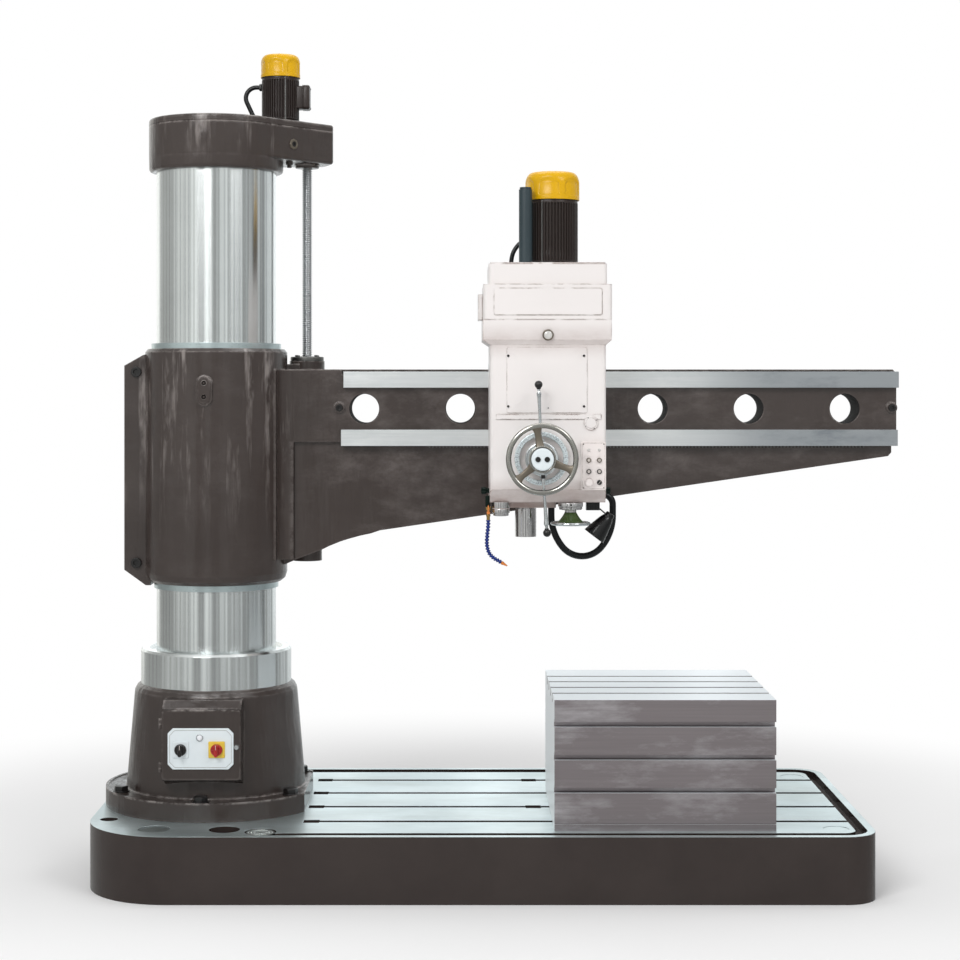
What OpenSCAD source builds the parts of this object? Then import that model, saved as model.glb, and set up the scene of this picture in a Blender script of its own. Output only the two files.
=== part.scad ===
// Radial arm drilling machine, 63 mm drilling capacity, 2 m arm.
// Millimetres. Z is up, X runs along the arm, Y runs away from the operator.
// The origin is on the floor, on the axis of the column.

/* [Base] */
// Reach of the base to the left of the column axis
base_left = 406; // [400:1:430]
// Reach of the base to the right of the column axis
base_right = 2340; // [2330:1:2400]
// Width of the base, front to back
base_w = 1250; // [1240:2:1280]
// Height of the base
base_h = 232; // [228:1:236]
// Radius of the base's right corners in plan
base_corner = 115; // [105:1:125]
// Radius of the base's left corners in plan
base_left_corner = 305; // [295:1:310]
// Width of the T-slots in the base
base_slot_w = 28; // [24:1:30]
// Spacing of the T-slots in the base
base_slot_pitch = 250; // [240:1:255]

/* [Pedestal] */
// Radius of the bolted flange
flange_r = 405; // [400:1:410]
// Radius of the cone at its foot
cone_foot_r = 329; // [322:1:330]
// Radius of the cone at its top
cone_top_r = 300; // [296:1:304]
// Height of the pedestal's top above the floor
pedestal_top = 676; // [670:1:680]

/* [Column] */
// Outer diameter of the swinging column
column_d = 440; // [440:1:440]
// Height of the column's top above the floor
column_top = 2557; // [2550:1:2560]
// Outer diameter of the clamp ring
clamp_ring_d = 553; // [548:1:556]

/* [Top cap] */
// Radius of the cap around the column
cap_r = 248; // [244:1:252]
// Reach of the cap past the lifting screw
cap_reach = 440; // [438:1:444]
// Height of the cap, with its lid
cap_h = 193; // [188:1:198]

/* [Arm] */
// Radius of the sleeve that slides on the column
sleeve_r = 262; // [258:1:264]
// Lowest point of the sleeve above the floor
sleeve_low = 1047; // [1044:1:1050]
// Top of the sleeve above the floor
sleeve_high = 1904; // [1900:1:1908]
// Reach of the arm casting from the column axis
arm_reach = 2508; // [2506:1:2512]
// Top of the arm above the floor
arm_top = 1829; // [1829:1:1829]
// Height of each guide way
way_h = 59; // [56:1:60]
// Diameter of the round holes through the arm
arm_hole_d = 108; // [100:1:112]
// Spacing of the round holes through the arm
arm_hole_pitch = 353; // [350:1:355]

/* [Lifting gear] */
// Distance of the lifting screw from the column axis
screw_distance = 350; // [350:1:350]
// Angle from the arm to the lifting screw, seen from above
lift_angle = 20.8; // [20.8:0.1:20.8]
// Diameter of the lifting screw
screw_d = 38; // [38:1:38]
// Distance of the lifting motor from the column axis
lift_motor_distance = 246; // [246:1:246]

/* [Drill head] */
// Left side of the head at rest
head_left = 1008; // [1008:1:1008]
// Right side of the head at rest
head_right = 1412; // [1412:1:1412]
// Front of the head, ahead of the column axis
head_front = 480; // [480:1:480]
// Underside of the head above the floor
head_low = 1361; // [1361:1:1361]
// Spindle axis from the column axis
spindle_x = 1138; // [1138:1:1138]
// Spindle axis, ahead of the column axis
spindle_y = -300; // [-300:1:-300]
// Travel of the quill
quill_travel = 400; // [380:5:400]
// Diameter of the spindle nose
nose_d = 76; // [70:1:78]
// Distance of the handwheel axis from the column axis
wheel_x = 1186; // [1186:1:1186]
// Height of the handwheel axis above the floor
wheel_z = 1517; // [1517:1:1517]
// Diameter of the traverse handwheel
wheel_d = 250; // [240:1:252]
// Length of a feed lever, from the axis to its ball
lever_l = 256; // [245:1:258]

/* [Box table] */
// Left side of the table
table_x = 1230; // [1225:1:1240]
// Length of the table
table_l = 766; // [760:1:770]
// Front of the table
table_y = -532; // [-535:1:-528]
// Depth of the table
table_w = 746; // [740:1:750]
// Height of the table
table_h = 452; // [446:1:456]
// Width of the table's T-slots
table_slot_w = 18; // [16:1:20]

/* [Hidden] */
$fn = 96;

column_r = column_d / 2;
fit = 0.06;            // running clearance on a radius
gap = 0.3;             // clear gap between pieces that only pass each other
eps = 1;               // overshoot of a cut

// base
rim = 27;
gutter_depth = 30;
gutter_start = 216;
pad = [[-306, 2271], [-563, 537]];
slot_start = 352;
slot_ys = [for (i = [-1.5:1:1.5]) i * base_slot_pitch];
entry_l = 56;
entry_x = 1143;
base_wall = 35;
base_top_t = 90;
rib = 30;
cells_x = 9;
cells_y = 4;
foundation_left = [-340, 340];
foundation_right = [2209, -24, 472];
foundation_r = 18;
foundation_seat = 40;
plug_r = 44;
filler = [-157, -500, 55];
drain = [88, -508, 54];

// pedestal and its switch box
flange_top = 300;
bolt_seat = 297;
bolt_ring = 368;
bolt_angles = [36, 88, 148, 208, 268, 323];
bolt_r = 15;
flange_cut = 343;
hub_r = 177;
column_foot_h = 40;
chest = [[-148, 131], [-372, -270], [378, 653]];
door_t = 12;
door_front = chest[1][0] - door_t;
hinge = [chest[0][0] - 6, chest[1][0] - 4];
hinge_zs = [405, 560];
hinge_h = 18;
hinge_r = 5.5;
knob_z = 487;
isolator_x = -80;
pump_x = 47;

// columns
inner_r = 165;
inner_top = 2380;
outer_bore_r = 190;
column_foot = 690;
foot_flange_r = 250;
foot_flange_h = 35;
ring_top = 804;
key_w = 30;
key_proud = 20;

// top cap
cap_z = column_top;
cap_end_w = 62;
cap_corner = 25;
cap_wall = 14;
cap_low = 2602;
lid_t = 24;
lid_top = cap_z + cap_h;
lid_z = lid_top - lid_t;
lid_layers = [[lid_z, lid_top - 9, 0], [lid_top - 10, lid_top - 5, 1.5], [lid_top - 6, lid_top - 2.5, 3.5],
              [lid_top - 4, lid_top - 1, 6], [lid_top - 2, lid_top, 9]];
lift_way = [cos(lift_angle), sin(lift_angle)];
screw = screw_distance * lift_way;
lift_motor = lift_motor_distance * lift_way;
gear_m = 4;
lift_gear_z = 2620;
lift_gear_h = 38;

// arm
beam_back = 95;
way_face = -100;
way_back = -75;
web_face = -58;
ledge_z = 1562;
way_top = 1821;
way_low = 1548.5;
way_x = 470;
hole_z = 1685;
hole_x = 552.6;
web_end = 2493;
boss_top = 1862;
boss_low = 1740;
nut_l = 98;
screw_tube_low = 1111;
screw_tube_r = 56;
lug = [-331, 70];
lug_bolt_x = -286;
lug_bolt_zs = [1118, 1820];

// head
bottom_t = 50;
wall = 16;
back_wall_y = -140;
saddle_face = way_face - 0.1;
flare_z = 1911;
split_z = 1999;
step_z = 2122;
head_top = 2199;
quill_r = 50;
quill_low = 1344;
quill_l = quill_travel + 209;
nose_z = 1232;
motor_x = 1238;
motor_y = spindle_y + sqrt(pow(144, 2) - pow(motor_x - spindle_x, 2));
drive_gear_z = 2010;
pinion_x = wheel_x + 96;
traverse_m = 3;
rack_m = 4;
rack_teeth = 14;
rack_pitch_z = wheel_z + rack_m * rack_teeth / 2;
panel = [[1324, 1410], [-508, -480], [1407, 1575]];
button_r = 8.5;
fine_x = 1291;
fine_y = -430;
lamp_y = -345;
lamp_pivot = [1390, 1341];
hose_y = -430;
loop_y = -200;
loop_x = [1234, 1456];
loop_z = 1300;
loop_drop = 147;
loop_turn = 40;            // angle that each long side arc turns through
conduit_r = 12;
lever_angles = [92.5, -86];

// Route of the coolant hose in its upright plane, x and z, from the valve to the nozzle
hose_route = [[1003, 1300], [1003, 1286], [1002, 1270], [1000, 1254], [999, 1238], [998, 1222],
              [999, 1208], [1002, 1194], [1007, 1182], [1015, 1172], [1025, 1164], [1037, 1157],
              [1049, 1150]];
hose_r = 7;
hose_bore_r = 3.5;
hose_ribs = 18;

// Basic solids, each given by its lowest and highest coordinates
module box(x, y, z) {
  translate([x[0], y[0], z[0]]) cube([x[1] - x[0], y[1] - y[0], z[1] - z[0]]);
}
module disc(x, y, z, r) {
  translate([x, y, z[0]]) cylinder(r = r, h = z[1] - z[0]);
}
module rod_y(x, z, y, r) {
  translate([x, y[0], z]) rotate([-90, 0, 0]) cylinder(r = r, h = y[1] - y[0]);
}
module rod_x(y, z, x, r) {
  translate([x[0], y, z]) rotate([0, 90, 0]) cylinder(r = r, h = x[1] - x[0]);
}
// Plan of the base, drawn in by an inset: wide corners at the left, small ones at the right
module base_plan(z, inset) {
  x = [-base_left + inset, base_right - inset];
  y = base_w / 2 - inset;
  c = base_left_corner - inset;
  d = base_corner - inset;
  box([x[0] + c, x[1] - d], [-y, y], z);
  box([x[0], x[0] + c + eps], [c - y, y - c], z);
  box([x[1] - d - eps, x[1]], [d - y, y - d], z);
  for (s = [-1, 1]) {
    disc(x[0] + c, s * (y - c), z, c);
    disc(x[1] - d, s * (y - d), z, d);
  }
}
// Slab with rounded upright edges
module slab(x, y, z, r) {
  box([x[0] + r, x[1] - r], y, z);
  box(x, [y[0] + r, y[1] - r], z);
  for (i = [x[0] + r, x[1] - r], j = [y[0] + r, y[1] - r]) disc(i, j, z, r);
}
// Plate that faces the operator, with rounded corners
module front_plate(x, y, z, r) {
  box([x[0] + r, x[1] - r], y, z);
  box(x, y, [z[0] + r, z[1] - r]);
  for (i = [x[0] + r, x[1] - r], k = [z[0] + r, z[1] - r]) rod_y(i, k, y, r);
}
// Outline in x and z, carried along y
module side_profile(points, y) {
  translate([0, y[1], 0]) rotate([90, 0, 0]) linear_extrude(y[1] - y[0]) polygon(points);
}
// Outline in y and z, carried along x
module end_profile(points, x) {
  translate([x[0], 0, 0]) rotate([90, 0, 90]) linear_extrude(x[1] - x[0]) polygon(points);
}
// Turned solid about an upright axis, from an outline of radius and height
module turned(points) {
  rotate_extrude() polygon(points);
}
// Room for a T-slot that runs along x and opens upwards at z
module tee_slot(x, y, z, w, depth) {
  box(x, [y - w / 2, y + w / 2], [z - depth, z + eps]);
  box(x, [y - w * 0.88, y + w * 0.88], [z - depth, z - depth * 0.58]);
}
module hex_head(x, y, z, r) {
  translate([x, y, z[0]]) cylinder(r = r, h = z[1] - z[0], $fn = 6);
}
// Straight-sided gear, with a tooth centred on the angle turn
function tooth_points(n, m, turn) = [
  for (i = [0:n - 1], c = [[-0.38, -1.2], [-0.13, 0.85], [0.13, 0.85], [0.38, -1.2]])
    let (a = turn + (i + c[0] * 0.86) * 360 / n, r = m * (n / 2 + c[1])) [r * cos(a), r * sin(a)]
];
module gear(n, m, h, turn) {
  linear_extrude(h) polygon(tooth_points(n, m, turn));
}

// Base: ribbed casting with a machined top, T-slots and a coolant gutter
module base_casting() {
  inner = [[-base_left + base_wall, base_right - base_wall], [-base_w / 2 + base_wall, base_w / 2 - base_wall]];
  step_x = (inner[0][1] - inner[0][0] + rib) / cells_x;
  step_y = (inner[1][1] - inner[1][0] + rib) / cells_y;
  color("slategray") difference() {
    base_plan([0, base_h], 0);
    // gutter round the front, the right end and the back
    difference() {
      slab([gutter_start - 300, base_right - rim], [-base_w / 2 + rim, base_w / 2 - rim],
           [base_h - gutter_depth, base_h + eps], base_corner - rim);
      slab(pad[0], pad[1], [base_h - gutter_depth - eps, base_h + 2 * eps], 45);
      box([-base_left, gutter_start], [-base_w, base_w], [base_h - 2 * gutter_depth, base_h + 2 * eps]);
    }
    disc(gutter_start, pad[1][0] + 20, [base_h - gutter_depth - 25, base_h + eps], 55);
    // T-slots and the wider places where a bolt head drops in
    for (y = slot_ys) {
      tee_slot([slot_start, base_right - rim - 10], y, base_h, base_slot_w, 48);
      box([slot_start, slot_start + entry_l], [y - 25, y + 25], [base_h - 48, base_h + eps]);
    }
    for (y = [slot_ys[1], slot_ys[3]]) box([entry_x, entry_x + entry_l], [y - 25, y + 25], [base_h - 48, base_h + eps]);
    // cells between the ribs, open to the floor
    difference() {
      intersection() {
        base_plan([-eps, base_h - base_top_t], base_wall);
        for (i = [0:cells_x - 1], j = [0:cells_y - 1]) if (j > 0 || i > 1)
          box([inner[0][0] + i * step_x, inner[0][0] + (i + 1) * step_x - rib],
              [inner[1][0] + j * step_y, inner[1][0] + (j + 1) * step_y - rib], [-2 * eps, base_h]);
      }
      disc(0, 0, [-3 * eps, base_h], 130);
      for (s = [-1, 1]) {
        disc(foundation_left[0], s * foundation_left[1], [-3 * eps, base_h], 52);
        disc(foundation_right[0], foundation_right[1] + s * foundation_right[2], [-3 * eps, base_h], 52);
      }
    }
    // foundation bolt holes
    for (s = [-1, 1]) {
      disc(foundation_left[0], s * foundation_left[1], [-eps, base_h + eps], foundation_r);
      disc(foundation_left[0], s * foundation_left[1], [foundation_seat, base_h + eps], 31.5);
      disc(foundation_right[0], foundation_right[1] + s * foundation_right[2], [-eps, base_h], foundation_r);
      disc(foundation_right[0], foundation_right[1] + s * foundation_right[2], [foundation_seat, base_h], 31.5);
      disc(foundation_right[0], foundation_right[1] + s * foundation_right[2], [base_h - 22, base_h + eps], plug_r);
    }
    // coolant filler and drain
    disc(filler[0], filler[1], [base_h - 60, base_h + eps], filler[2]);
    disc(drain[0], drain[1], [base_h - 150, base_h + eps], drain[2]);
    // threads for the pedestal bolts
    for (a = bolt_angles) disc(bolt_ring * cos(a), bolt_ring * sin(a), [base_h - 48, base_h + eps], bolt_r + 0.2);
  }
}

// Plugs over the right foundation bolts and the coolant filler
module base_plugs() {
  color("lightsteelblue") {
    for (s = [-1, 1])
      disc(foundation_right[0], foundation_right[1] + s * foundation_right[2], [base_h - 22, base_h - 1], plug_r - 0.5);
    disc(filler[0], filler[1], [base_h - 60, base_h - 2], filler[2] - 0.5);
  }
}

// Pedestal: bolted flange, cone and the switch box cast on its front
module pedestal() {
  color("dimgray") difference() {
    union() {
      turned([[0, base_h], [flange_r, base_h], [flange_r, flange_top], [flange_r - 11, flange_top],
              [flange_r - 11, bolt_seat], [cone_foot_r + 3, bolt_seat], [cone_foot_r, flange_top],
              [cone_top_r, pedestal_top - 39], [cone_top_r - 2, pedestal_top - 24],
              [cone_top_r - 10, pedestal_top - 9], [cone_top_r - 22, pedestal_top], [0, pedestal_top]]);
      end_profile([[chest[1][0], chest[2][0]], [chest[1][0], chest[2][1] - 25], [chest[1][0] + 37, chest[2][1]],
                   [chest[1][1], chest[2][1]], [chest[1][1], chest[2][0] - 40], [chest[1][0] + 55, chest[2][0] - 18]],
                  chest[0]);
    }
    // hollow between the outer wall and the hub round the inner column
    turned([[0, base_h - eps], [252, base_h - eps], [252, pedestal_top - 48], [hub_r, pedestal_top - 48],
            [hub_r, base_h + column_foot_h + eps], [0, base_h + column_foot_h + eps]]);
    disc(0, 0, [base_h, pedestal_top + eps], inner_r + gap);
    box([chest[0][0] + 18, chest[0][1] - 18], [chest[1][0] - eps, -200], [chest[2][0] + 18, chest[2][1] - 50]);
    box([flange_cut, flange_r + eps], [-flange_r, flange_r], [base_h - eps, flange_top + 30]);
    for (a = bolt_angles) disc(bolt_ring * cos(a), bolt_ring * sin(a), [base_h - eps, flange_top + eps], bolt_r + 0.2);
  }
  // fixed halves of the door hinges
  color("dimgray") for (z = hinge_zs) {
    box([hinge[0] - 4, chest[0][0] - gap], [chest[1][0] - 3, chest[1][0] + 10], [z, z + hinge_h]);
    box([hinge[0] - 4, chest[0][0] + eps], [chest[1][0] + gap, chest[1][0] + 10], [z, z + hinge_h]);
    disc(hinge[0], hinge[1], [z, z + hinge_h], hinge_r);
    disc(hinge[0], hinge[1], [z + hinge_h - eps, z + 2 * hinge_h], 2.5);
  }
}

module pedestal_bolts() {
  color([0.2, 0.2, 0.2]) for (a = bolt_angles) {
    disc(bolt_ring * cos(a), bolt_ring * sin(a), [base_h - 42, bolt_seat], bolt_r);
    hex_head(bolt_ring * cos(a), bolt_ring * sin(a), [bolt_seat, bolt_seat + 22], 26.5);
  }
}

// Fixed inner column that the outer column turns on
module inner_column() {
  foot = base_h + column_foot_h;
  color("gray") turned([[140, base_h], [245, base_h], [245, foot], [inner_r, foot], [inner_r, inner_top], [0, inner_top],
      [0, inner_top - 30], [140, inner_top - 30]]);
}

// Roller rings at the foot and the top, and the thrust ring under the outer column
module column_bearings() {
  color("silver") {
    for (z = [[740, 790], [2290, 2340]]) difference() {
      disc(0, 0, z, outer_bore_r - fit);
      disc(0, 0, [z[0] - eps, z[1] + eps], inner_r);
    }
    difference() {
      disc(0, 0, [pedestal_top, column_foot - 0.1], 240);
      disc(0, 0, [pedestal_top - eps, column_foot], 200);
    }
  }
}

// Clamp ring that holds the outer column's foot down
module column_clamp_ring() {
  r = clamp_ring_d / 2;
  color("silver") turned([[252, pedestal_top], [r, pedestal_top], [r, ring_top - 8], [r - 6, ring_top],
      [column_r + 24, ring_top], [column_r + 18, ring_top - 9], [column_r + gap, ring_top - 9],
      [column_r + gap, column_foot + foot_flange_h + 1], [252, column_foot + foot_flange_h + 1]]);
}

// Box table with T-slots on its top and its front
module box_table() {
  top = base_h + table_h;
  back = table_y + table_w;
  color("gray") difference() {
    box([table_x, table_x + table_l], [table_y, back], [base_h, top]);
    for (i = [-1.5:1:1.5]) tee_slot([table_x - eps, table_x + table_l + eps], -166 + i * 139, top, table_slot_w, 32);
    for (z = [371, 485, 599]) translate([0, table_y, z]) rotate([90, 0, 0])
      tee_slot([table_x - eps, table_x + table_l + eps], 0, 0, table_slot_w, 32);
    for (y = [table_y - eps, back - 4]) box([table_x - eps, table_x + table_l + eps], [y, y + 5], [254, 258]);
    for (i = [0:2], j = [0:2])
      box([table_x + 30 + i * 243, table_x + 250 + i * 243], [table_y + 60 + j * 222, table_y + 260 + j * 222 - 5],
          [base_h - eps, top - 60]);
  }
}

// Door of the switch box, hinged on its left edge
module switch_box_door() {
  color("dimgray") difference() {
    union() {
      front_plate([chest[0][0], chest[0][1]], [door_front, chest[1][0]], [chest[2][0], chest[2][1] - 27], 14);
      rod_y(116, 494, [door_front - 5, door_front], 9);
      for (z = hinge_zs) {
        box([hinge[0], chest[0][0] + 7], [door_front + 2, hinge[1]], [z + hinge_h + gap, z + 2 * hinge_h]);
        disc(hinge[0], hinge[1], [z + hinge_h + gap, z + 2 * hinge_h], hinge_r);
      }
    }
    for (x = [isolator_x, pump_x]) rod_y(x, knob_z, [door_front - eps, chest[1][0] + eps], 8 + fit);
    for (z = hinge_zs) disc(hinge[0], hinge[1], [z + hinge_h, z + 2 * hinge_h + eps], 2.5 + fit);
  }
}

// Switch plate with its two raised escutcheons and the mains lamp
module switch_plate() {
  x = [-126, 106];
  z = [417, 562];
  c = 18;
  f = door_front - 4;
  color("whitesmoke") difference() {
    union() {
      side_profile([[x[0] + c, z[0]], [x[1] - c, z[0]], [x[1], z[0] + c], [x[1], z[1] - c], [x[1] - c, z[1]],
                    [x[0] + c, z[1]], [x[0], z[1] - c], [x[0], z[0] + c]], [f, door_front]);
      for (x0 = [isolator_x, pump_x]) front_plate([x0 - 29, x0 + 29], [f - 5, f], [knob_z - 29, knob_z + 29], 3);
      rod_y(-13, 529, [f - 9, f], 11);
    }
    for (x0 = [isolator_x, pump_x]) rod_y(x0, knob_z, [f - 20, chest[1][0]], 8 + fit);
  }
}

// Rotary switch knob: round skirt, grip bar and a spindle through the door
module rotary_knob(x) {
  f = door_front - 9;
  union() {
    rod_y(x, knob_z, [f - 12, f - 0.5], 21);
    box([x - 7, x + 7], [f - 30, f - 12], [knob_z - 22, knob_z + 22]);
    rod_y(x, knob_z, [f - 0.5, chest[1][0] + 6], 8);
  }
}
module isolator_knob() {
  color([0.1, 0.1, 0.1]) rotary_knob(isolator_x);
}
module pump_switch_knob() {
  color("firebrick") rotary_knob(pump_x);
}

// Swinging outer column with its foot flange and the long key at its back
module outer_column() {
  color("lightgray") {
    turned([[outer_bore_r, column_foot], [foot_flange_r, column_foot], [foot_flange_r, column_foot + foot_flange_h],
            [column_r, column_foot + foot_flange_h], [column_r, column_top], [outer_bore_r, column_top]]);
    difference() {
      box([-key_w / 2, key_w / 2], [column_r - 20, column_r + key_proud], [840, column_top - 15]);
      disc(0, 0, [800, column_top], column_r);
    }
  }
}

// Points on an arc
function arc_points(x, y, r, from, to, n) = [
  for (i = [0:n]) let (a = from + (to - from) * i / n) [x + r * cos(a), y + r * sin(a)]
];
// Angle of the cap's tangents to its middle line, and the share of its circle that they leave
cap_taper = asin((cap_r - cap_corner) / norm([cap_reach - cap_corner, cap_end_w - cap_corner]))
  - atan2(cap_end_w - cap_corner, cap_reach - cap_corner);
cap_open = 90 - cap_taper;
// Round part of the cap, drawn in by an inset
module cap_round(z, inset) {
  rotate([0, 0, lift_angle]) translate([0, 0, z[0]]) linear_extrude(z[1] - z[0]) polygon(concat(
    arc_points(0, 0, cap_r - inset, cap_open, 360 - cap_open, 72),
    [for (i = [1:29]) let (a = cap_open * (2 * i / 30 - 1)) (cap_r - inset) * [cos(a), sin(a)]]));
}
// Plan of the whole cap, drawn in by an inset: straight tangents run from the round part to a squarish end
module cap_plan(z, inset) {
  x = cap_reach - cap_corner;
  y = cap_end_w - cap_corner;
  c = cap_corner - inset;
  rotate([0, 0, lift_angle]) translate([0, 0, z[0]]) linear_extrude(z[1] - z[0]) polygon(concat(
    arc_points(0, 0, cap_r - inset, cap_open, 360 - cap_open, 72),
    arc_points(x, -y, c, -cap_open, 0, 8), arc_points(x, y, c, 0, cap_open, 8)));
}

// Cap on the column: housing of the lifting gear, with an oil plug on its front
module top_cap() {
  face = lift_angle + cap_taper;
  plug = cap_r * [sin(face), -cos(face)] + 157 * [cos(face), sin(face)];
  color("dimgray") difference() {
    union() {
      cap_round([cap_z, lid_z], 0);
      cap_plan([cap_low, lid_z], 0);
      disc(0, 0, [cap_z - 40, cap_z + eps], outer_bore_r - 0.2);
      disc(screw[0], screw[1], [cap_low - 14, cap_low + eps], 46);
      translate([plug[0], plug[1], 2660]) rotate([0, 0, face]) rotate([90, 0, 0]) translate([0, 0, -eps])
        cylinder(r = 17, h = 6);
    }
    cap_round([cap_z + 25, lid_z + eps], cap_wall);
    cap_plan([cap_low + cap_wall, lid_z + eps], cap_wall);
    disc(0, 0, [cap_z - 41, cap_z + 26], outer_bore_r - 16);
    disc(screw[0], screw[1], [cap_low - 15, cap_low + cap_wall + eps], screw_d / 2 + fit);
    translate([plug[0], plug[1], 2660]) rotate([0, 0, face]) rotate([90, 0, 0]) translate([0, 0, -3])
      cylinder(r = 9, h = 10);
  }
}

module top_cap_lid() {
  color("dimgray") difference() {
    for (layer = lid_layers) cap_plan([layer[0], layer[1]], layer[2]);
    disc(lift_motor[0], lift_motor[1], [lid_z - eps, lid_top + eps], 14);
    disc(screw[0], screw[1], [lid_z - eps, lid_top - 6], 12 + fit);
  }
}

// Finned motor shell about an upright axis
function fin_points(r, fins) = [
  for (i = [0:fins - 1], c = [[-0.17, r - 6], [-0.13, r], [0.13, r], [0.17, r - 6]])
    let (a = (i + c[0]) * 360 / fins) [c[1] * cos(a), c[1] * sin(a)]
];
module finned_shell(x, y, z, r, bore, fins) {
  difference() {
    union() {
      translate([x, y, z[0] + 11]) linear_extrude(z[1] - z[0] - 11) polygon(fin_points(r, fins));
      disc(x, y, [z[0], z[0] + 12], r + 4);
    }
    disc(x, y, [z[0] + 12, z[1] + eps], bore);
    disc(x, y, [z[0] - eps, z[1]], bore * 0.28);
  }
}
// Fan cover: a shell open below, with vents in its roof
module fan_cover(x, y, z, r) {
  vents = 10;
  translate([x, y, 0]) difference() {
    turned([[0, z[0]], [r, z[0]], [r, z[1] - r * 0.22], [r * 0.94, z[1] - r * 0.08], [r * 0.8, z[1]], [0, z[1]]]);
    disc(0, 0, [z[0] - eps, z[1] - r * 0.22 - 3], r - 3);
    disc(0, 0, [z[0], z[1] - 3], r * 0.74);
    for (i = [0:vents - 1]) rotate([0, 0, i * 360 / vents]) box([r * 0.3, r * 0.66], [-4, 4], [z[1] - 10, z[1] + eps]);
  }
}

module lift_motor_body() {
  color([0.25, 0.23, 0.22]) finned_shell(lift_motor[0], lift_motor[1], [lid_top, 2923], 70, 44, 28);
}
module lift_motor_fan_cover() {
  color("gold") fan_cover(lift_motor[0], lift_motor[1], [2923, 3008], 75);
}
// Terminal box on the motor's right, and its short cable on the left, down to the lid
module lift_motor_terminal_box() {
  cable_r = 8.5;
  bend = 40;
  turn = 115;
  start = [lift_motor[0] - 90, 2889];
  end = start + bend * [cos(90 + turn), sin(90 + turn) - 1];
  run = (end[1] - lid_top - 4) / sin(turn);
  m = lift_motor;
  color([0.15, 0.15, 0.15]) {
    difference() {
      union() {
        slab([m[0] + 60, m[0] + 92], [m[1] - 30, m[1] + 30], [2806, 2892], 5);
        slab([m[0] + 84, m[0] + 111], [m[1] - 36, m[1] + 36], [2804, 2895], 11);
      }
      disc(m[0], m[1], [2790, 2900], 70.1);
    }
    rod_x(m[1], start[1], [m[0] - 78, m[0] - 70], 14);
    rod_x(m[1], start[1], [start[0] - eps, m[0] - 77], cable_r - 0.3);
    translate([start[0], m[1], start[1] - bend]) rotate([90, 0, 0]) rotate([0, 0, 90])
      rotate_extrude(angle = turn) translate([bend, 0]) circle(r = cable_r);
    translate([end[0], m[1], end[1]]) rotate([0, 270 - turn, 0]) translate([0, 0, -eps])
      cylinder(r = cable_r - 0.3, h = run + eps);
    disc(end[0] - run * cos(turn), m[1], [lid_top, lid_top + 9], 14);
  }
}

// Lifting screw with the gear keyed on its top
module lift_screw() {
  top = lid_top - 8;
  color("silver") {
    disc(screw[0], screw[1], [1560, lift_gear_z + lift_gear_h], screw_d / 2);
    disc(screw[0], screw[1], [lift_gear_z + lift_gear_h, top], 12);
    difference() {
      translate([screw[0], screw[1], lift_gear_z]) gear(34, gear_m, lift_gear_h, 180 + lift_angle);
      disc(screw[0], screw[1], [lift_gear_z - eps, lift_gear_z + lift_gear_h + eps], screw_d / 2);
    }
  }
}
// Rotor, shaft, fan and pinion of the lifting motor
module lift_motor_rotor() {
  color("darkgray") {
    disc(lift_motor[0], lift_motor[1], [lift_gear_z, 2936], 10);
    disc(lift_motor[0], lift_motor[1], [2772, 2905], 41);
    disc(lift_motor[0], lift_motor[1], [2936, 2958], 58);
    translate([lift_motor[0], lift_motor[1], lift_gear_z]) gear(18, gear_m, lift_gear_h, 10 + lift_angle);
  }
}

// Depth of the arm's underside below the web, as a straight run to the tip
function underside(x) = 1226 + (x - 540) * (1510 - 1226) / (2483 - 540);

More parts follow.
